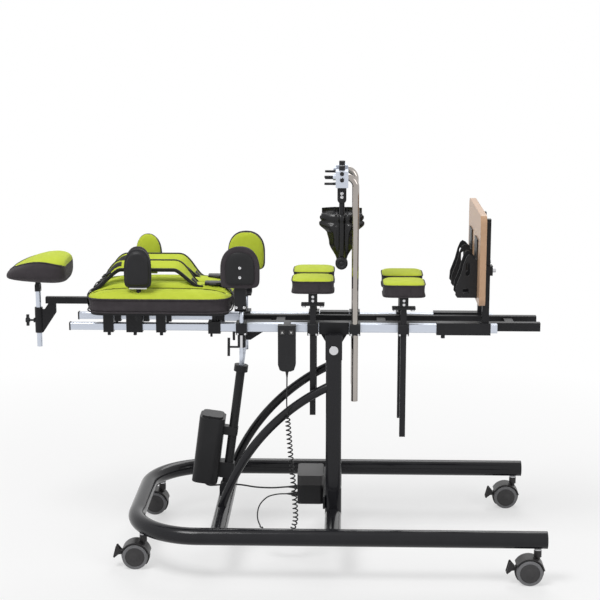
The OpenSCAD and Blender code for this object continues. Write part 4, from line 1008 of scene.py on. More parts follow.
@dataclass
class BackRest:
    """The channelled back cushion and the shoulder harness.

    Attributes:
        middle_x: Middle of the cushion.
        seat_z: Height of its underside.
        shape: Its padded form.
        channels: Places of the sewn channels across it.
        channel_depth: Depth of the channels under the ridges beside them.
        channel_reach: Half the width of the ridge between two channels.
        thread_depth: Depth of a channel from which its faces are painted dark as shade.
        thread_clear: Height over the seam from which that painted shade shows.
        thread_reach: Share of the length over which that painted shade shows.
        stitch_r: Radius of the thread along a channel's floor.
        seam_clear: Height over the seam that stays as it is swelled.
        seam_fade: Height over that over which the ridges grow.
        end_fade: Share of the length over which they fade at the ends.
        bolster: Extra rise of the outer ridges.
        bolster_y: Distance of the outer ridges from the middle.
        bolster_w: Reach of that rise.
        dome: Extra rise of the middle ridge.
        dome_y: Half the width of that rise.
        bar_room: Foot end, half width and height of the room for the head bar under the cushion.
        bar_top: Height under which points make way for it.
        strap_from: Head end of the shoulder straps.
        strap_to: Foot end of the shoulder straps.
        strap_y: Distance of the straps from the middle.
        strap_rise: How far the straps bow up.
        strap_lift: Share of a strap over which it rises.
        strap_flat: Share of a strap that lies flat at each end.
        strap_lean: How far the bowed straps lean to the near side, in degrees.
        strap_half_w: Half the width of a strap.
        strap_t: Half the thickness of a strap at its ends, and what is added where it bows.
        strap_power: How square its sections are.
        strap_steps: Sections of a strap.
        binding: Width and thickness of the binding of a strap's edges.
        tape: Width and thickness of the tape on a strap.
        tapes: First and last section under each tape.
        web: Width of the webbing at the head and at the foot.
        web_t: Thickness of the webbing.
        head_web: Places along and heights of the webbing at the head.
        foot_web: Places along and heights of the webbing at the foot.
        buckle: Places along and widths of a buckle.
        buckle_z: Height of a buckle's middle.
        buckle_half_t: Half the thickness of a buckle.
        prong_x: Ends of a buckle's prongs.
        prong: Distance of a prong from the middle, half its width and half its thickness.
        ladder_at: Share of a strap at which its ladder lock sits.
        ladder_z: Height of the lock over the strap's middle.
        ladder_slope: Slope of the lock.
        ladder_bar: Spacing, half length and radius of the lock's bars.
        ladder_rail: Distance from the middle, half length and radius of its rails.
    """

    middle_x: float = -0.3315
    seat_z: float = 0.740
    shape: PadShape = field(default_factory=lambda: PadShape(
        half_l=0.2145, half_w=0.150, side=0.042, crown=0.024, power=7.0, voxel=0.006,
        pressure=3.5, cap=0.010, low_seam=0.003, piping_r=0.0022))
    channels: tuple[float, ...] = (-0.09, -0.03, 0.03, 0.09)
    channel_depth: float = 0.010
    channel_reach: float = 0.030
    thread_depth: float = 0.0052
    thread_clear: float = 0.008
    thread_reach: float = 0.93
    stitch_r: float = 0.0011
    seam_clear: float = 0.003
    seam_fade: float = 0.008
    end_fade: float = 0.09
    bolster: float = 0.004
    bolster_y: float = 0.12
    bolster_w: float = 0.02
    dome: float = 0.014
    dome_y: float = 0.115
    bar_room: Point = (-0.02, 0.0125, 0.0235)
    bar_top: float = 0.03
    strap_from: float = -0.532
    strap_to: float = -0.205
    strap_y: float = 0.058
    strap_rise: float = 0.056
    strap_lift: float = 0.24
    strap_flat: float = 0.02
    strap_lean: float = 28.0
    strap_half_w: float = 0.022
    strap_t: Pair = (0.002, 0.003)
    strap_power: float = 3.2
    strap_steps: int = 72
    binding: Pair = (0.0058, 0.0095)
    tape: Pair = (0.02, 0.0016)
    tapes: tuple[tuple[str, int, int], ...] = (("head", 0, 19), ("foot", 64, 72))
    web: Pair = (0.026, 0.025)
    web_t: float = 0.0018
    head_web: tuple[Pair, ...] = (
        (-0.523, 0.8005), (-0.534, 0.7965), (-0.5425, 0.791), (-0.548, 0.782), (-0.549, 0.77),
        (-0.548, 0.757), (-0.545, 0.745))
    foot_web: tuple[Pair, ...] = (
        (-0.215, 0.8125), (-0.2, 0.8125), (-0.18, 0.8115), (-0.16, 0.8095), (-0.14, 0.805), (-0.126, 0.796),
        (-0.118, 0.783), (-0.1155, 0.766), (-0.117, 0.748))
    buckle: tuple[Pair, ...] = (
        (-0.2, 0.034), (-0.1985, 0.037), (-0.18, 0.038), (-0.162, 0.036), (-0.152, 0.03), (-0.1505, 0.026))
    buckle_z: float = 0.8165
    buckle_half_t: float = 0.005
    prong_x: Pair = (-0.186, -0.166)
    prong: Point = (0.0185, 0.002, 0.003)
    ladder_at: float = 0.13
    ladder_z: float = 0.009
    ladder_slope: float = 0.55
    ladder_bar: Point = (0.011, 0.017, 0.0022)
    ladder_rail: Point = (0.016, 0.013, 0.0024)

    def lift(self, y: float) -> float:
        """Gives how far the ridges stand over the plain crown at a place across the cushion."""
        outer = hump(abs(y), self.bolster_y, self.bolster_w)
        return self.dome * max(0.0, 1 - (y / self.dome_y) ** 2) + self.bolster * outer

    def valley(self, y: float) -> float:
        """Gives how deep the cover is sewn down between plump ridges at a place across the cushion."""
        off = min(abs(y - c) for c in self.channels) / self.channel_reach
        return self.channel_depth * (1 - math.sqrt(1 - max(0.0, 1 - off) ** 2))

    def shape_ridges(self, cushion: bpy.types.Object) -> None:
        """Sews the channels into the swelled cushion and leaves room for the head bar.

        Args:
            cushion: The cushion, with its seat at the origin.
        """
        s = self.shape
        room_x, room_y, room_z = self.bar_room
        flat = s.side + self.seam_clear
        for co in (vert.co for vert in cushion.data.vertices):
            if co.z > flat:
                inside = ease((1 - abs(co.x) / s.half_l) / self.end_fade)
                fade = inside * min(1.0, (co.z - flat) / self.seam_fade)
                co.z += (self.lift(co.y) - self.valley(co.y)) * fade
            elif co.z < self.bar_top and abs(co.y) < room_y and co.x < room_x:
                co.z = max(co.z, room_z)

    def build_cushion(self) -> None:
        """Makes the cushion, sews its channels, paints shade into them and adds its piping."""
        s = self.shape
        place = (self.middle_x, 0, self.seat_z)
        cushion = s.build("back_cushion_cover")
        self.shape_ridges(cushion)
        # Faces deep in the channels take the dark thread green as painted shade.
        reach, low = s.half_l * self.thread_reach, s.side + self.thread_clear
        Upholstery.cover(cushion, THREAD_AND_CHANNEL_SHADE, lambda m, n: (
            m.z > low and self.valley(m.y) > self.thread_depth and abs(m.x) < reach))
        put(cushion, place, "backrest", "back_cushion")
        s.build_piping("back_piping_top", "back_piping_low", place, "backrest")
        self.build_stitches(cushion)

    def build_stitches(self, cushion: bpy.types.Object) -> None:
        """Lays a dark thread along the floor of every channel, whose colour also stands for painted shade
        there.

        Args:
            cushion: The cushion in its place.
        """
        s = self.shape
        steps, reach, proud = 60, 0.9, 0.0004
        near_x, near_y = 0.006, 0.0035
        flat = self.seat_z + s.side + self.seam_clear
        points = [vert.co for vert in cushion.data.vertices if vert.co.z > flat]
        for index, c in enumerate(self.channels, 1):
            floor = [co for co in points if abs(co.y - c) < near_y]
            stitch: list[Point] = []
            for i in range(steps + 1):
                x = self.middle_x + s.half_l * (-reach + 2 * reach * i / steps)
                here = [co.z for co in floor if abs(co.x - x) < near_x]
                if here:
                    stitch.append((x, c, min(here) + proud))
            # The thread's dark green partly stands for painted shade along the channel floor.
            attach(Maker.tube(f"back_stitch_{index}", stitch, self.stitch_r, THREAD_AND_CHANNEL_SHADE, 6), "backrest")

    def bow(self, u: float) -> float:
        """Gives how far a strap has risen at a share of its length."""
        first, last = u - self.strap_flat, 1 - self.strap_flat - u
        return ease(first / self.strap_lift) * ease(last / self.strap_lift)

    def strap_thick(self, u: float) -> float:
        """Gives half the thickness of a strap at a share of its length."""
        thin, added = self.strap_t
        return thin + added * self.bow(u)

    def strap_point(self, u: float) -> Vector:
        """Gives a point of the bowed middle line of a strap.

        Args:
            u: Share of its length, from the head end.

        Returns:
            The point, in the middle plane.
        """
        s = self.shape
        clear, flatness = 0.0003, 8
        x = self.strap_from + (self.strap_to - self.strap_from) * u
        seat = self.seat_z + s.side + s.crown * (1 - abs((x - self.middle_x) / s.half_l) ** flatness)
        return Vector((x, 0, seat + clear + self.strap_thick(u) + self.strap_rise * self.bow(u)))

    def strap_axes(self, u: float) -> tuple[Vector, Vector]:
        """Gives the leaning axes of a strap.

        Args:
            u: Share of its length.

        Returns:
            The directions of its width and of its upper face.
        """
        step = 0.01
        along = (self.strap_point(u + step) - self.strap_point(u - step)).normalized()
        lean = math.radians(self.strap_lean) * self.bow(u)
        rise = Vector((-along.z, 0, along.x))
        out = Vector((0, 1, 0))
        return out * math.cos(lean) + rise * math.sin(lean), rise * math.cos(lean) - out * math.sin(lean)

    def build_strap(self, side: Side) -> None:
        """Makes one padded strap with bound edges and its tapes.

        Args:
            side: Which strap.
        """
        tuck, proud = 0.0005, 0.0006
        shares = [i / self.strap_steps for i in range(self.strap_steps + 1)]
        line = [self.strap_point(u) + Vector((0, self.strap_y * side.value, 0)) for u in shares]
        axes = [self.strap_axes(u) for u in shares]
        wide = [across for across, _ in axes]
        rings: list[Ring] = []
        for u, here, (across, up) in zip(shares, line, axes):
            section = oval(self.strap_half_w, self.strap_thick(u), self.strap_power, 28)
            rings.append([tuple(here + across * a + up * b) for a, b in section])
        strap = Maker.loft(f"shoulder_strap_{side.word}", rings, LIME)
        Upholstery.smooth(strap, LIME)
        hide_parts("shoulder_straps")
        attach(strap, "backrest")
        edge = self.strap_half_w - tuck
        for way, index in FLANKS:
            bound = [here + across * (way * edge) for here, across in zip(line, wide)]
            name = f"strap_binding_{side.word}_{index}"
            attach(Maker.ribbon(name, bound, wide, self.binding, WEBBING), "backrest")
        for label, first, last in self.tapes:
            under = range(first, last + 1)
            over = [line[i] + axes[i][1] * (self.strap_thick(shares[i]) + proud) for i in under]
            name = f"strap_tape_{label}_{side.word}"
            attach(Maker.ribbon(name, over, [wide[i] for i in under], self.tape, WEBBING), "backrest")

    def build_ends(self, side: Side) -> None:
        """Adds the loose webbing and the buckle at the ends of a strap.

        Args:
            side: Which strap.
        """
        y = self.strap_y * side.value
        head_w, foot_w = self.web
        for label, route, width in (("tail", self.foot_web, foot_w), ("head", self.head_web, head_w)):
            line = [(x, y, z) for x, z in route]
            name = f"strap_{label}_{side.word}"
            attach(Maker.ribbon(name, line, [(0, 1, 0)], (width, self.web_t), WEBBING), "backrest")
        rings: list[Ring] = []
        for x, width in self.buckle:
            section = oval(width / 2, self.buckle_half_t, 3.5, 24)
            rings.append([(x, y + a, self.buckle_z + b) for a, b in section])
        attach(Maker.loft(f"strap_buckle_{side.word}", rings, MOULDED), "backrest")
        out, half_w, half_t = self.prong
        for way, index in FLANKS:
            low = (self.prong_x[0], y + way * out - half_w, self.buckle_z - half_t)
            high = (self.prong_x[1], y + way * out + half_w, self.buckle_z + half_t)
            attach(Maker.slab(f"buckle_prong_{side.word}_{index}", low, high, GREY_LID, 0.0012), "backrest")

    def build_ladder(self, side: Side) -> None:
        """Adds the ladder lock near the head end of a strap.

        Args:
            side: Which strap.
        """
        y = self.strap_y * side.value
        slope = self.ladder_slope
        lock = self.strap_point(self.ladder_at) + Vector((0, 0, self.ladder_z))
        apart, half, radius = self.ladder_bar
        for index, shift in enumerate((-apart, 0.0, apart), 1):
            bar = [(lock.x + shift, y + d, lock.z + shift * slope) for d in (-half, 0, half)]
            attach(Maker.tube(f"ladder_bar_{side.word}_{index}", bar, radius, MOULDED, 12), "backrest")
        out, half, radius = self.ladder_rail
        for way, index in FLANKS:
            rail = [(lock.x + d, y + way * out, lock.z + d * slope) for d in (-half, 0.0, half)]
            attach(Maker.tube(f"ladder_side_{side.word}_{index}", rail, radius, MOULDED, 12), "backrest")

    def build(self) -> None:
        """Makes the cushion and the harness."""
        self.build_cushion()
        for side in Side:
            self.build_strap(side)
            self.build_ends(side)
            self.build_ladder(side)


@dataclass
class HeadRest:
    """The head pad on its lug.

    Attributes:
        start_x: Crown end of the pad.
        length: Its length.
        low_z: Height of its underside at the neck.
        height: Its height at the neck.
        crown_h: Its height at the crown.
        sole_rise: How far its underside rises to the crown.
        arch: Part of a sine that its upper face follows, in degrees.
        half_w: Half its width.
        power: How square its sections are.
        stations: Places of its sections.
        voxel: Size of its small faces.
        pressure: Pressure that swells it.
        cap: How far a point may move as it swells.
        piping_r: Radius of the piping on its seam.
        lug: Lowest and highest corner of the lug under it.
    """

    start_x: float = -0.790
    length: float = 0.181
    low_z: float = 0.8065
    height: float = 0.090
    crown_h: float = 0.042
    sole_rise: float = 0.016
    arch: float = 115.0
    half_w: float = 0.100
    power: float = 2.8
    stations: tuple[float, ...] = (0.015, 0.04, 0.08, 0.16, 0.3, 0.45, 0.6, 0.75, 0.85, 0.92, 0.96, 0.985)
    voxel: float = 0.005
    pressure: float = 3.0
    cap: float = 0.006
    piping_r: float = 0.0018
    lug: tuple[Point, Point] = ((-0.715, -0.0058, 0.7895), (-0.701, 0.0058, 0.817))

    def span(self, s: float) -> Pair:
        """Gives the lowest and highest height at a place along the pad, from the crown."""
        rise = (self.height - self.crown_h) * math.sin(math.radians(self.arch * s))
        return self.low_z + self.sole_rise * (1 - s) ** 2, self.low_z + self.crown_h + rise

    def section(self, s: float, shrink: float, count: int) -> Ring:
        """Gives one section of the pad.

        Args:
            s: Place along it, from the crown.
            shrink: Share of its full size.
            count: Points of the section.

        Returns:
            The ring of points.
        """
        end = max(1 - abs(2 * s - 1) ** 5, 0.0) ** (1 / 3)
        low, high = self.span(s)
        middle, half = (low + high) / 2, (high - low) / 2 * (0.45 + 0.55 * end) * shrink
        wide = self.half_w * (0.35 + 0.65 * end) * shrink
        x = self.start_x + self.length * s
        return [(x, y, middle + z) for y, z in oval(wide, half, self.power, count)]

    def seam_z(self, x: float) -> float:
        """Gives the height of the seam.

        Args:
            x: Place along X.

        Returns:
            The height.
        """
        s = min(max((x - self.start_x) / self.length, 0), 1)
        low, high = self.span(s)
        return low + (high - low) * (0.96 - 0.28 * s ** 1.5)

    def seam_point(self, s: float) -> Point:
        """Gives a point of the seam on the +Y flank.

        Args:
            s: Place along the pad, from the crown.

        Returns:
            The point.
        """
        ring = self.section(s, 0.985, 4)
        wide = max(y for _, y, _ in ring)
        low, high = min(z for _, _, z in ring), max(z for _, _, z in ring)
        x = self.start_x + self.length * s
        z = min(self.seam_z(x), high - 0.001)
        rise = abs(2 * (z - low) / (high - low) - 1)
        return x, wide * (1 - rise ** self.power) ** (1 / self.power), z

    def build(self) -> None:
        """Makes the pad, its seam and the lug under it."""
        pad = Maker.loft("head_pad_cover", [self.section(s, 0.975, 56) for s in self.stations], CHARCOAL)
        near = 0.004
        Upholstery.remesh(pad, self.voxel)
        Upholstery.swell(pad, self.pressure, self.cap, lambda co: abs(co.z - self.seam_z(co.x)) < near)
        Upholstery.two_tone(pad, lambda m, n: m.z > self.seam_z(m.x))
        put(pad, (0, 0, 0), "head_pad", "head_pad")
        steps = 48
        shares = [(1 - math.cos(math.pi * i / steps)) / 2 for i in range(steps + 1)]
        edge = [self.seam_point(0.06 + 0.88 * share) for share in shares]
        line = edge + [(x, -y, z) for x, y, z in reversed(edge)]
        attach(Maker.tube("head_piping", line, self.piping_r, CHARCOAL, 8, closed=True), "head_pad")
        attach(Maker.slab("head_lug", *self.lug, SATIN_BLACK, 0.002), "head_pad")


@dataclass
class Shield:
    """An upright pad with a round top, drawn towards +Y.

    Attributes:
        half_w: Half its width along X.
        height: Its height.
        power_top: Roundness of its top.
        power_foot: Roundness of its foot.
        waist: Share of its height where its top begins.
    """

    half_w: float
    height: float
    power_top: float = 2.3
    power_foot: float = 6.0
    waist: float = 0.45

    def ring(self, share: float, depth: float) -> Ring:
        """Gives one ring of the shield.

        Args:
            share: Share of its size.
            depth: Its place along Y.

        Returns:
            The ring of points.
        """
        middle = self.height * self.waist
        points: Ring = []
        for a in turns(64):
            top = math.cos(a) > 0
            reach, power = (self.height - middle, self.power_top) if top else (middle, self.power_foot)
            z, x = round_point(reach, self.half_w, power, a)
            points.append((x * share, depth, middle + z * share))
        return points

    def build(self, name: str, levels: Sequence[Pair], finish: Finish) -> bpy.types.Object:
        """Makes a solid of rings, each given by its depth and its share of the size."""
        return Maker.loft(name, [self.ring(share, depth) for depth, share in levels], finish)

    def swelled(self, name: str, thick: float, bulge: float, seam: float) -> bpy.types.Object:
        """Makes a swollen pad that faces the wearer.

        Args:
            name: Name of the piece.
            thick: Its thickness up to the seam.
            bulge: How far its face stands out.
            seam: Depth from which it is lime.

        Returns:
            The piece, from Y = 0 towards +Y.
        """
        gusset = ((0.0, 0.95), (0.15, 0.985), (0.5, 0.97), (0.85, 0.985), (1.0, 0.965))
        face = ((0.5, 0.85), (0.8, 0.55), (0.88, 0.25))
        voxel, pressure, cap, near = 0.004, 2.5, 0.004, 0.003
        pad = self.build(name, stacked(thick, bulge, gusset, face), CHARCOAL)
        Upholstery.remesh(pad, voxel)
        Upholstery.swell(pad, pressure, cap, lambda co: abs(co.y - thick) < near or co.y < near)
        Upholstery.two_tone(pad, lambda m, n: m.y > seam)
        return pad


@dataclass
class SideSupports:
    """The chest and hip supports.

    Attributes:
        pad_lift: How far a pad stands over the place of its support.
        chest: Place of the chest supports: along, out and up.
        chest_form: Half the width and the height of a chest shell.
        chest_shell: Depth and share of the rings of a chest shell.
        chest_pad: Half the width and the height of a chest pad, then its thickness, bulge and seam.
        stalk: Distance out and lowest and highest height of a chest stalk.
        stalk_r: Radius of a chest stalk.
        hip: Place of the hip supports: along, out and up.
        hip_pad: Half the width and the height of a hip pad, then its thickness, bulge and seam.
        rim_form: Half the width and the height of a hip rim.
        hip_rim: Depth and share of the rings of a hip rim.
        plate_form: Half the width, the height and the roundness of a hip plate.
        plate_at: How far out and up a hip plate sits.
        hip_plate: Depth and share of the rings of a hip plate.
        screw_at: How far out and up the hip screws sit, and how far from their middle.
        screw: Radius and height of a hip screw.
        post: Distance out and lowest and highest height of a hip post.
        post_r: Radius of a hip post.
        shelf_z: Lowest and highest height of the shelf on a hip post.
        bracket_half_w: Half the width of a hip bracket.
        bolt_at: How far the hip bolts sit from their middle and over the shelf.
        bolt: Radius and height of a hip bolt.
    """

    pad_lift: float = 0.002
    chest: Point = (-0.389, 0.127, 0.814)
    chest_form: Pair = (0.040, 0.116)
    chest_shell: tuple[Pair, ...] = (
        (0.0, 0.97), (0.002, 1.0), (0.0075, 1.0), (0.0095, 0.985), (0.010, 0.93), (0.0105, 0.86),
        (0.0135, 0.83), (0.0165, 0.78), (0.0175, 0.70), (0.0178, 0.4))
    chest_pad: tuple[Pair, Point] = ((0.039, 0.120), (0.013, 0.011, 0.0125))
    stalk: Point = (0.120, 0.719, 0.8155)
    stalk_r: float = 0.0069
    hip: Point = (-0.091, 0.145, 0.818)
    hip_pad: tuple[Pair, Point] = ((0.0555, 0.120), (0.016, 0.010, 0.0145))
    rim_form: Pair = (0.057, 0.122)
    hip_rim: tuple[Pair, ...] = ((0.0, 0.97), (0.0015, 1.0), (0.0065, 1.0), (0.009, 0.975), (0.0095, 0.92))
    plate_form: Point = (0.041, 0.094, 2.6)
    plate_at: Pair = (0.0085, 0.012)
    hip_plate: tuple[Pair, ...] = ((0.0, 0.97), (0.0035, 1.0), (0.005, 0.97), (0.0052, 0.6))
    screw_at: Point = (0.0133, 0.047, 0.014)
    screw: Pair = (0.0045, 0.0028)
    post: Point = (0.101, 0.579, 0.752)
    post_r: float = 0.007
    shelf_z: Pair = (0.748, 0.754)
    bracket_half_w: float = 0.017
    bolt_at: Pair = (0.0115, 0.0065)
    bolt: Pair = (0.0042, 0.003)

    @staticmethod
    def turn(piece: bpy.types.Object, side: Side, inward: bool) -> None:
        """Mirrors a piece drawn towards +Y to face in or out on its side.

        Args:
            piece: The piece.
            side: Its side.
            inward: Whether it faces the middle.
        """
        if side.value * (-1 if inward else 1) < 0:
            for vert in piece.data.vertices:
                vert.co.y = -vert.co.y
            piece.data.flip_normals()

    def build_pad(self, kind: str, side: Side, place: Point, sizes: tuple[Pair, Point], *nodes: str) -> None:
        """Makes the pad of one support.

        Args:
            kind: Chest or hip, as the bodies spell it.
            side: Its side.
            place: Place of the support: along, out and up.
            sizes: Half its width and its height, then its thickness, bulge and seam.
            nodes: The nodes that it stands for.
        """
        x, y, z = place
        form, depths = sizes
        pad = Shield(*form).swelled(f"{kind}_pad_{side.word}", *depths)
        self.turn(pad, side, inward=True)
        put(pad, (x, y * side.value, z + self.pad_lift), f"{kind}_{side.word}", *nodes)

    def build_chest(self, side: Side) -> None:
        """Makes one chest support.

        Args:
            side: Its side.
        """
        body = f"chest_{side.word}"
        x, y, z = self.chest
        shell = Shield(*self.chest_form).build(f"chest_shell_{side.word}", self.chest_shell, MOULDED)
        Upholstery.smooth(shell, MOULDED)
        self.turn(shell, side, inward=False)
        put(shell, (x, y * side.value, z), body, f"chest_support_{side.word}")
        self.build_pad("chest", side, self.chest, self.chest_pad)
        out, low, high = self.stalk
        stalk = straight((x, out * side.value, low), (x, out * side.value, high), 4)
        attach(Maker.tube(f"chest_stalk_{side.word}", stalk, self.stalk_r, SATIN_BLACK, 24), body)
        spans = ((x - 0.026, x + 0.026), (y - 0.007, y + 0.007), (z - 0.004, z + 0.003))
        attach(Maker.plate(f"chest_hinge_{side.word}", side, spans, STEEL, 0.0015), body)

    def build_hip(self, side: Side) -> None:
        """Makes one hip support: a pad in its rim, with the plate and screws on its outer face.

        Args:
            side: Its side.
        """
        body = f"hip_{side.word}"
        x, y, z = self.hip
        s = side.value
        self.build_pad("hip", side, self.hip, self.hip_pad, f"hip_support_{side.word}")
        rim = Shield(*self.rim_form).build(f"hip_rim_{side.word}", self.hip_rim, CHARCOAL)
        Upholstery.smooth(rim, CHARCOAL)
        self.turn(rim, side, inward=False)
        put(rim, (x, y * s, z), body)
        plate = Shield(*self.plate_form).build(f"hip_plate_{side.word}", self.hip_plate, MOULDED)
        self.turn(plate, side, inward=False)
        put(plate, (x, (y + self.plate_at[0]) * s, z + self.plate_at[1]), body)
        out, up, apart = self.screw_at
        for way, index in FLANKS:
            place = (x, (y + out) * s, z + up + way * apart)
            name = f"hip_screw_{side.word}_{index}"
            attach(Maker.bolt(name, place, (0, s, 0), *self.screw, STEEL), body)

    def build_post(self, side: Side) -> None:
        """Makes the post of one hip support with its shelf, bracket and bolts.

        Args:
            side: Its side.
        """
        body = f"hip_{side.word}"
        x, y, z = self.hip
        s = side.value
        out, low, high = self.post
        post = straight((x, out * s, low), (x, out * s, high), 6)
        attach(Maker.tube(f"hip_post_{side.word}", post, self.post_r, SILVER, 28), body)
        along = (x - self.bracket_half_w, x + self.bracket_half_w)
        shelf = (along, (out - 0.009, y), self.shelf_z)
        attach(Maker.plate(f"hip_shelf_{side.word}", side, shelf, SATIN_BLACK, 0.0012), body)
        bracket = (along, (y - 0.006, y), (self.shelf_z[0] + 0.0005, z + 0.04))
        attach(Maker.plate(f"hip_bracket_{side.word}", side, bracket, SATIN_BLACK, 0.0015), body)
        for way, index in FLANKS:
            place = (x + way * self.bolt_at[0], y * s, self.shelf_z[1] + self.bolt_at[1])
            name = f"hip_bolt_{side.word}_{index}"
            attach(Maker.bolt(name, place, (0, s, 0), *self.bolt, STEEL), body)

    def build(self) -> None:
        """Makes all four supports."""
        for side in Side:
            self.build_chest(side)
            self.build_hip(side)
            self.build_post(side)


@dataclass
class LegPads:
    """The thigh and calf pads.

    Attributes:
        shape: Their padded form.
        middle_y: Their distance from the middle.
        join_x: Place of the gusset's join along a pad, from its middle.
        join_r: Radius of that join.
        places: Body, node, place along and height of each pair.
    """

    shape: PadShape = field(default_factory=lambda: PadShape(
        half_l=0.062, half_w=0.058, side=0.036, crown=0.010, power=6.0, voxel=0.004,
        pressure=3.0, cap=0.005, low_seam=0.0025, piping_r=0.0016))
    middle_y: float = 0.075
    join_x: float = 0.018
    join_r: float = 0.0009
    places: tuple[tuple[str, str, float, float], ...] = (
        ("thighs", "thigh_pads", 0.118, 0.798), ("calves", "calf_pads", 0.383, 0.788))

    def build_join(self, name: str, pad: bpy.types.Object, place: Point, side: Side, body: str) -> None:
        """Sews the upright join of a pad's gusset on its outer side.

        Args:
            name: Name of the piece.
            pad: The pad in its place.
            place: Where the pad's origin stands.
            side: The pad's side.
            body: The body that it rides on.
        """
        near, proud, steps = 0.004, 0.0001, 9
        x = place[0] + self.join_x
        strip = [vert.co for vert in pad.data.vertices if abs(vert.co.x - x) < near]
        line: list[Point] = []
        for height in (place[2] + self.shape.side * i / steps for i in range(1, steps)):
            here = [co.y * side.value for co in strip if abs(co.z - height) < near]
            if here:
                line.append((x, side.value * (max(here) + proud), height))
        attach(Maker.tube(name, line, self.join_r, CHARCOAL, 8), body)

    def build(self) -> None:
        """Swells one pad and sets copies of it in all four places."""
        first = self.shape.build("leg_pad")
        for body, node, x, z in self.places:
            for side in Side:
                pad = first.copy()
                pad.data = first.data.copy()
                pad.name = f"{node}_{side.word}"
                bpy.context.collection.objects.link(pad)
                place = (x, self.middle_y * side.value, z)
                put(pad, place, body, node)
                names = (f"{node}_piping_{label}_{side.word}" for label in ("top", "low"))
                self.shape.build_piping(*names, place, body)
                self.build_join(f"{node}_join_{side.word}", pad, place, side, body)
        bpy.data.objects.remove(first)


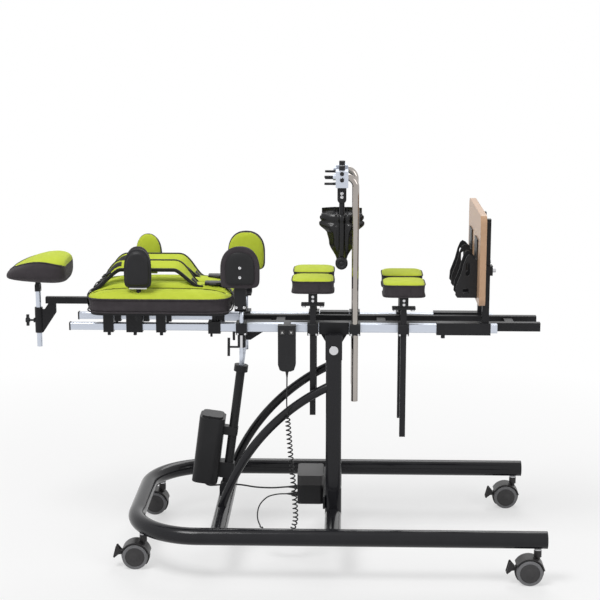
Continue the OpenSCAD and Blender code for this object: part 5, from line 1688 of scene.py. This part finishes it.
@dataclass
class KneeCups:
    """The moulded knee cups, finer than their solids.

    Attributes:
        place: Middle of the pivot along and out, and height of the knob.
        height: Height of the cup over its knob.
        fold: Height of the fold between the lobes and the ledge.
        inset: How far the wall stands inside the pivot where it doesn't bulge.
        thick: Wall of the cup.
        foot_half_w: Half its width at the knob.
        widen: How much is added to that, from which height and over which height.
        dish: Depth of the dish at the knob, and what is added higher up.
        grow_h: Height over which the dish and the lobes grow.
        lobe: How far the lobes stand out.
        lobe_at: Middle and reach of a lobe, in shares of half the width.
        lobe_top: Height from which the lobes fade towards the fold.
        ledge: How far the rolled ledge over the fold stands out.
        groove: Depth of the grooves beside the rib.
        groove_at: Distance of a groove from the middle, and its reach.
        ridge: How far the rib stands out.
        ridge_at: Half the width of the rib's top, and the width of its slope.
        rib: Places across the wall from the middle of the rib to its foot.
        knob_r: Radius of the knob.
        knob_in: How far the knob's seat lies inside the pivot.
        stem_out: How far the stem stands outside the pivot.
        stem_r: Radius of the stem.
        stem_in: How far the stem reaches into the cup and into the link.
        link: Lowest and highest height of the link.
        link_half_w: Half the width of the link.
        link_levels: Depth and share of the rings of the link.
        screws: Heights of the link's screws.
        screw_out: How far out the screws sit.
        screw: Radius and height of a screw.
        pin_top: Height of the top of the pivot pin.
        pin_r: Radius of the pivot pin.
        pin_in: How far the pin reaches into the link.
    """

    place: Point = (0.201, 0.066, 0.880)
    height: float = 0.144
    fold: float = 0.121
    inset: float = 0.004
    thick: float = 0.005
    foot_half_w: float = 0.015
    widen: tuple[Point, ...] = (
        (0.022, 0.008, 0.052), (0.007, 0.060, 0.035), (0.022, 0.088, 0.026), (-0.006, 0.119, 0.005))
    dish: Pair = (0.008, 0.014)
    grow_h: float = 0.1
    lobe: float = 0.009
    lobe_at: Pair = (0.5, 0.3)
    lobe_top: float = 0.108
    ledge: float = 0.005
    groove: float = 0.003
    groove_at: Pair = (0.012, 0.004)
    ridge: float = 0.005
    ridge_at: Pair = (0.005, 0.004)
    rib: tuple[float, ...] = (0.0, 0.0025, 0.005, 0.0063, 0.0077, 0.009)
    knob_r: float = 0.018
    knob_in: float = 0.006
    stem_out: float = 0.013
    stem_r: float = 0.008
    stem_in: Pair = (0.036, 0.008)
    link: Pair = (1.056, 1.103)
    link_half_w: float = 0.013
    link_levels: tuple[Pair, ...] = ((-0.009, 0.93), (-0.0078, 1.0), (0.0208, 1.0), (0.022, 0.94))
    screws: Pair = (1.0755, 1.0862)
    screw_out: float = 0.0215
    screw: Pair = (0.0049, 0.003)
    pin_top: float = 1.142
    pin_r: float = 0.0059
    pin_in: float = 0.01

    def half_w(self, h: float) -> float:
        """Gives half the width at a height over the knob."""
        added = (gain * ease((h - start) / over) for gain, start, over in self.widen)
        return sum(added, self.foot_half_w)

    def bulge(self, x: float, h: float) -> float:
        """Gives how far the wall stands out: a dish with two lobes beside the rib, under a rolled ledge.

        Args:
            x: Distance from the middle rib.
            h: Height over the knob.

        Returns:
            The bulge in metres.
        """
        u = abs(x) / self.half_w(h)
        grow = ease(h / self.grow_h)
        fade = 1 - ease((h - self.lobe_top) / (self.fold - self.lobe_top))
        dish = (self.dish[0] + self.dish[1] * grow) * (1 - u * u)
        lobes = self.lobe * grow * fade * hump(u, *self.lobe_at)
        ledge = self.ledge * math.sin(math.pi * max(0.0, h - self.fold) / (self.height - self.fold))
        groove = self.groove * hump(abs(x), *self.groove_at)
        ridge = self.ridge * (1 - ease((abs(x) - self.ridge_at[0]) / self.ridge_at[1]))
        return dish + lobes + ledge - groove + ridge

    def columns(self, h: float) -> list[float]:
        """Gives the places across the wall, close together beside the rib.

        Args:
            h: Height over the knob.

        Returns:
            The places, from one edge to the other.
        """
        steps, foot = 14, self.rib[-1]
        half = [*self.rib, *(foot + (self.half_w(h) - foot) * i / steps for i in range(1, steps + 1))]
        return [-x for x in reversed(half[1:])] + half

    def shell(self, side: Side) -> bpy.types.Object:
        """Makes the dished shell.

        Args:
            side: Its side.

        Returns:
            The piece.
        """
        x, y, z = self.place
        up = 60
        mesh = bmesh.new()
        walls: list[list[list[bmesh.types.BMVert]]] = []
        for inset in (self.inset, self.inset + self.thick):
            grid = []
            for h in (self.height * j / up for j in range(up + 1)):
                row = [(x + a, side.value * (y + self.bulge(a, h) - inset), z + h) for a in self.columns(h)]
                grid.append([mesh.verts.new(point) for point in row])
            walls.append(grid)
        outer, inner = walls
        across = len(outer[0]) - 1
        for grid in walls:
            for low, high in zip(grid, grid[1:]):
                for i in range(across):
                    mesh.faces.new((low[i], low[i + 1], high[i + 1], high[i]))
        rim = [(j, 0) for j in range(up)] + [(up, i) for i in range(across)]
        rim += [(j, across) for j in range(up, 0, -1)] + [(0, i) for i in range(across, 0, -1)]
        for (j0, i0), (j1, i1) in zip(rim, rim[1:] + rim[:1]):
            mesh.faces.new((outer[j0][i0], outer[j1][i1], inner[j1][i1], inner[j0][i0]))
        piece = Maker.from_bmesh(f"knee_cup_shell_{side.word}", mesh, GLOSSY)
        step = piece.modifiers.new("rim", "BEVEL")
        step.width, step.segments = 0.0014, 2
        step.limit_method, step.angle_limit = "ANGLE", math.radians(60)
        Upholstery.settle(piece)
        for face in piece.data.polygons:
            face.use_smooth = True
        return piece

    def build_link(self, side: Side) -> None:
        """Makes the link with its round foot, its two screws, the stem below it and the pin above it.

        Args:
            side: Its side.
        """
        x, y, z = self.place
        s, body = side.value, f"knee_cup_{side.word}"
        low, high = self.link
        half = self.link_half_w
        foot = [(half * math.cos(a), -half * math.sin(a)) for a in (math.pi * i / 20 for i in range(21))]
        outline = foot + [(-half, high - low - half), (half, high - low - half)]
        rings = [
            [(x + share * a, s * (y + depth), low + half + share * b) for a, b in outline]
            for depth, share in self.link_levels
        ]
        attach(Maker.loft(f"knee_link_{side.word}", rings, MOULDED), body)
        for index, height in enumerate(self.screws, 1):
            place = (x, (y + self.screw_out) * s, height)
            screw = Maker.bolt(f"knee_screw_{side.word}_{index}", place, (0, s, 0), *self.screw, STEEL)
            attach(screw, body)
        stem_y = (y + self.stem_out) * s
        in_cup, in_link = self.stem_in
        stem = straight((x, stem_y, z + self.height - in_cup), (x, stem_y, low + in_link), 6)
        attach(Maker.tube(f"knee_stem_{side.word}", stem, self.stem_r, SATIN_BLACK, 28), body)
        pin = straight((x, y * s, high - self.pin_in), (x, y * s, self.pin_top), 4)
        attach(Maker.tube(f"knee_pin_{side.word}", pin, self.pin_r, STEEL, 20), body)

    def knob(self) -> list[Pair]:
        """Gives the knob's profile: a drum, a step, a recess and a rivet in the middle.

        Returns:
            The radius and height of each ring.
        """
        drum = [(0.0006, 0.0), (0.0, 0.0008), (0.0, 0.0232), (0.0008, 0.024)]
        step = [(0.002, 0.0245), (0.002, 0.0272), (0.0028, 0.028), (0.0082, 0.028), (0.009, 0.0272)]
        recess = [(0.0092, 0.0262)]
        rivet = [(0.0052, 0.0262), (0.0046, 0.0272), (0.002, 0.0276)]
        return [(self.knob_r - inset, h) for inset, h in drum + step + recess] + rivet

    def build(self) -> None:
        """Makes both cups with their knobs, stems and links."""
        x, y, z = self.place
        for side in Side:
            s, body = side.value, f"knee_cup_{side.word}"
            shell = self.shell(side)
            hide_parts(f"knee_cup_{side.word}")
            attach(shell, body)
            seat = (x, (y - self.knob_in) * s, z)
            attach(Maker.turned(f"knee_knob_{side.word}", seat, (0, s, 0), self.knob(), MOULDED), body)
            self.build_link(side)


@dataclass
class Handset:
    """Marks and edge of the handset.

    Attributes:
        size: Half the size of a button's mark.
        tips: The mark's corners, in shares of that size.
        sunk: How far a mark reaches into its button.
        proud: How far a mark stands out.
        edge: Distance of the line round a button from it.
        line_in: How far the middle of that line lies behind the button's face.
        line_r: Radius of that line.
    """

    size: float = 0.0036
    tips: tuple[Pair, ...] = ((0.0, 1.0), (-0.9, -0.7), (0.9, -0.7))
    sunk: float = 0.0004
    proud: float = 0.0003
    edge: float = 0.0011
    line_in: float = 0.0021
    line_r: float = 0.0006

    def build(self) -> None:
        """Adds a triangle to each button and a line round it."""
        for word, way in (("up", 1), ("down", -1)):
            low, high = (Vector(corner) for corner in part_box(f"handset_button_{word}"))
            middle = (low + high) / 2
            rings: list[Ring] = []
            for depth, share in ((-self.sunk, 1.0), (self.proud * 0.6, 1.0), (self.proud, 0.86)):
                size = share * self.size
                rings.append([
                    (middle.x + size * a, low.y - depth, middle.z + way * size * b) for a, b in self.tips])
            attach(Maker.loft(f"button_mark_{word}", rings, PRINT), f"button_{word}")
            outline = oval((high.x - low.x) / 2 + self.edge, (high.z - low.z) / 2 + self.edge, 6.0, 48)
            loop = [(middle.x + a, low.y + self.line_in, middle.z + b) for a, b in outline]
            line = Maker.tube(f"button_frame_{word}", loop, self.line_r, GREY_LID, 6, closed=True)
            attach(line, "tilt_frame")


@dataclass
class Castors:
    """Trim of the twin castors.

    Attributes:
        axles: Place of each castor's axle.
        axle_z: Height of the axles.
        face: Distance of the wheels' outer faces from the middle of their castor.
        hub: Radius and height of the rings of a hub disc with its axle cap.
    """

    axles: tuple[Pair, ...] = ((0.741, -0.330), (0.741, 0.330), (-0.39761, -0.235984), (-0.39761, 0.235984))
    axle_z: float = 0.0375
    face: float = 0.026
    hub: tuple[Pair, ...] = (
        (0.0283, -0.0022), (0.0283, -0.0004), (0.0262, 0.0), (0.019, -0.0006), (0.0125, 0.0006),
        (0.009, 0.0022), (0.0055, 0.0026))

    def build(self) -> None:
        """Adds a hub disc with an axle cap to every wheel."""
        for index, (x, y) in enumerate(self.axles, 1):
            for side in Side:
                seat = (x, y + side.value * self.face, self.axle_z)
                name = f"castor_hub_{index}_{side.word}"
                disc = Maker.turned(name, seat, (0, side.value, 0), self.hub, GREY_LID)
                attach(disc, f"wheels_{index}")


@dataclass
class Dressing:
    """Finishes of the nodes that show as they are.

    Attributes:
        nodes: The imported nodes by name.
        plain: The nodes of each finish.
        seats: Node, place along and height of the plates that the leg pads sit on.
    """

    nodes: dict[str, bpy.types.Object]
    plain: dict[Finish, tuple[str, ...]] = field(default_factory=lambda: {
        GLOSS_BLACK: ("base_tube", "cross_tubes", "masts", "arch_braces"),
        SATIN_BLACK: (
            "base_fittings", "actuator_foot", "main_frame", "pivot_brackets", "actuator_lugs", "rail_clamps",
            "back_board", "head_bar", "thigh_posts", "calf_posts", "foot_carriage", "foot_clamps"),
        MOULDED: (
            "control_box", "actuator_body", "rail_caps", "hip_lever_near", "hip_lever_far", "handset",
            "head_knob", "sandal_near", "sandal_far"),
        GREY_LID: ("control_box_lid", "handset_button_up", "handset_button_down"),
        TAUPE: tuple(f"{kind}_{i}" for kind in ("castor_hood", "brake_pedal") for i in range(1, 5)),
        TREAD: tuple(f"castor_wheels_{i}" for i in range(1, 5)),
        SILVER: ("actuator_rod", "back_tubes", "leg_tubes", "head_stem"),
        CHROME_AND_PAINTED_REFLECTION: ("knee_arm_near", "knee_arm_far"),
        BEECH: ("footboard",),
    })
    seats: tuple[tuple[str, float, float], ...] = (
        ("thigh_posts", 0.118, 0.760), ("calf_posts", 0.383, 0.750))

    @staticmethod
    def under_plate(x: float, z: float) -> Wanted:
        """Picks the screw heads under the plate of a leg pad.

        Args:
            x: Place of the plate along the frame.
            z: Height of the plate's underside.

        Returns:
            What tells from a face's middle and normal whether it is one of them.
        """
        head_t, far_y, post_half = 0.0065, 0.108, 0.015

        def wanted(m: Vector, n: Vector) -> bool:
            """Tells whether a face is on a screw head: one beside the post that looks down or sideways."""
            there = z - head_t < m.z < z and abs(m.y) < far_y and abs(m.x - x) > post_half
            return there and (n.z < -0.5 or abs(n.z) < 0.1)

        return wanted

    def patches(self) -> list[tuple[str, Finish, Wanted]]:
        """Lists the faces that have another finish than the rest of their node.

        Returns:
            The node, the finish and what picks the faces, in the order in which they are put on.
        """
        # Heads of the tilt bolts, and stems of the castors
        found: list[tuple[str, Finish, Wanted]] = [
            ("base_fittings", STEEL, lambda m, n: abs(m.y) > 0.1445 and m.z > 0.6),
            ("base_fittings", STEEL, lambda m, n: m.z < 0.104),
        ]
        # Screws under the leg pads' plates, and in the sides of the blocks on them
        for node, x, z in self.seats:
            found.append((node, STEEL, self.under_plate(x, z)))
            found.append((node, STEEL, lambda m, n, z=z: abs(m.y) > 0.1142 and m.z > z + 0.008))
        # Clamp blocks of the knee arms, their screw knobs and caps, and their wing levers
        for side in Side:
            arm = f"knee_arm_{side.word}"
            found.append((arm, SILVER, lambda m, n: m.z > 1.1045 and m.x < 0.2195))
            found.append((arm, MOULDED, lambda m, n: abs(m.y) > 0.1135 or m.z > 1.1525))
            found.append((arm, MOULDED, lambda m, n: m.x < 0.1828 and abs(m.y) < 0.080))
        # Screws of the foot clamps and of the rail clamps, and end and fork of the head stem
        return found + [
            ("foot_clamps", STEEL, lambda m, n: m.x > 0.6405),
            ("rail_clamps", STEEL, lambda m, n: abs(m.y) > 0.1125 and m.z < 0.68),
            ("head_stem", MOULDED, lambda m, n: m.z < 0.6085 or m.z > 0.776),
        ]

    def build(self) -> None:
        """Puts every finish on."""
        for finish, names in self.plain.items():
            for mesh in (self.nodes[name].data for name in names):
                mesh.materials.clear()
                mesh.materials.append(finish.material())
                for face in mesh.polygons:
                    face.material_index = 0
        for name, finish, wanted in self.patches():
            Upholstery.cover(self.nodes[name], finish, wanted)


@dataclass
class Studio:
    """Camera, floor and lights.

    Attributes:
        eye: Place of the camera.
        down: How far it looks down, in degrees.
        left: How far it looks to the left, in degrees.
        lens: Focal length in millimetres.
        sensor: Side of the sensor in millimetres.
        floor_reach: Half the size of the floor.
        floor_drop: How far the floor lies under the wheels.
        shadow_reach: Distances from the middle between which the floor fades to white.
        shadow_white: Share of white on the floor under the frame.
        lamps: Name, place, aim, size and power of each lamp.
        ambient: Strength of the surround as a light.
    """

    eye: Point = (0.2065, -4.3876, 1.6468)
    down: float = 11.493
    left: float = 1.684
    lens: float = 90.0
    sensor: float = 36.0
    floor_reach: float = 14.0
    floor_drop: float = 0.0005
    shadow_reach: Pair = (0.8, 2.4)
    shadow_white: float = 0.55
    lamps: tuple[tuple[str, Point, Point, float, float], ...] = (
        ("key", (-1.5, -2.0, 4.6), (0, 0, 0.7), 1.8, 125),
        ("fill", (3.2, -2.6, 2.4), (0.2, 0, 0.7), 1.8, 28),
        ("back", (0.5, 3.0, 3.8), (0, 0, 0.7), 2.2, 60),
    )
    ambient: float = 0.32

    def build_camera(self) -> None:
        """Makes the camera at the photograph's angle."""
        data = bpy.data.cameras.new("camera")
        data.lens, data.sensor_fit = self.lens, "AUTO"
        data.sensor_width = data.sensor_height = self.sensor
        camera = bpy.data.objects.new("camera", data)
        camera.location = self.eye
        camera.rotation_euler = (math.radians(90 - self.down), 0, math.radians(self.left))
        bpy.context.collection.objects.link(camera)
        bpy.context.scene.camera = camera

    @staticmethod
    def seen(tree: bpy.types.NodeTree) -> bpy.types.NodeSocket:
        """Adds nodes that tell what the camera sees, itself or in a reflection.

        Args:
            tree: The tree they go into.

        Returns:
            A value of 1 where it is seen so, and 0 where it only lights.
        """
        path = tree.nodes.new("ShaderNodeLightPath")
        value = path.outputs["Is Camera Ray"]
        for label in ("Is Glossy Ray", "Is Transmission Ray"):
            most = tree.nodes.new("ShaderNodeMath")
            most.operation = "MAXIMUM"
            tree.links.new(value, most.inputs[0])
            tree.links.new(path.outputs[label], most.inputs[1])
            value = most.outputs[0]
        return value

    def floor_material(self) -> bpy.types.Material:
        """Makes the floor's finish, which shows white to the camera but keeps the shadow.

        Returns:
            The material.
        """
        made = bpy.data.materials.new("pale_floor")
        made.use_nodes = True
        nodes, links = made.node_tree.nodes, made.node_tree.links
        shader = nodes["Principled BSDF"]
        shader.inputs["Base Color"].default_value = (0.9, 0.9, 0.9, 1)
        shader.inputs["Roughness"].default_value = 0.9
        white = nodes.new("ShaderNodeEmission")
        where = nodes.new("ShaderNodeTexCoord")
        away = nodes.new("ShaderNodeVectorMath")
        away.operation = "LENGTH"
        links.new(where.outputs["Object"], away.inputs[0])
        fade = nodes.new("ShaderNodeMapRange")
        fade.inputs["From Min"].default_value, fade.inputs["From Max"].default_value = self.shadow_reach
        fade.inputs["To Min"].default_value = self.shadow_white
        links.new(away.outputs["Value"], fade.inputs["Value"])
        share = nodes.new("ShaderNodeMath")
        share.operation = "MULTIPLY"
        links.new(fade.outputs["Result"], share.inputs[0])
        links.new(self.seen(made.node_tree), share.inputs[1])
        mix = nodes.new("ShaderNodeMixShader")
        links.new(share.outputs[0], mix.inputs["Fac"])
        links.new(shader.outputs["BSDF"], mix.inputs[1])
        links.new(white.outputs["Emission"], mix.inputs[2])
        links.new(mix.outputs["Shader"], nodes["Material Output"].inputs["Surface"])
        return made

    def build_floor(self) -> None:
        """Makes the pale floor."""
        mesh = bmesh.new()
        bmesh.ops.create_grid(mesh, x_segments=1, y_segments=1, size=self.floor_reach)
        data = bpy.data.meshes.new("floor")
        mesh.to_mesh(data)
        mesh.free()
        floor = bpy.data.objects.new("floor", data)
        floor.location.z = -self.floor_drop
        bpy.context.collection.objects.link(floor)
        data.materials.append(self.floor_material())

    def build_light(self) -> None:
        """Makes the soft lamps and the white surround."""
        for name, place, aim, size, power in self.lamps:
            data = bpy.data.lights.new(name, "AREA")
            data.size, data.energy = size, power
            lamp = bpy.data.objects.new(name, data)
            lamp.location = place
            lamp.rotation_euler = (Vector(aim) - Vector(place)).to_track_quat("-Z", "Y").to_euler()
            bpy.context.collection.objects.link(lamp)
        world = bpy.data.worlds.new("surround")
        bpy.context.scene.world = world
        world.use_nodes = True
        nodes, links = world.node_tree.nodes, world.node_tree.links
        sky = nodes["Background"]
        sky.inputs["Color"].default_value = (1, 1, 1, 1)
        level = nodes.new("ShaderNodeMapRange")
        level.inputs["To Min"].default_value = self.ambient
        links.new(self.seen(world.node_tree), level.inputs["Value"])
        links.new(level.outputs["Result"], sky.inputs["Strength"])

    def build(self) -> None:
        """Makes the floor and the light."""
        self.build_floor()
        self.build_light()
        bpy.context.scene.view_settings.view_transform = "Standard"


def main() -> None:
    """Builds every sub-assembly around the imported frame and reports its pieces."""
    logging.basicConfig(level=logging.INFO, format="%(message)s")
    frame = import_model()
    studio = Studio()
    studio.build_camera()
    assemblies: list[Assembly] = [
        Cords(), Dressing(frame["nodes"]), BackRest(), HeadRest(), SideSupports(), LegPads(), KneeCups(),
        Handset(), Castors(), studio,
    ]
    for assembly in assemblies:
        known = {piece.name for piece in bpy.data.objects}
        assembly.build()
        for name in (piece.name for piece in bpy.data.objects if piece.name not in known):
            LOG.info("%s: %s", type(assembly).__name__, name)


if __name__ == "__main__":
    main()
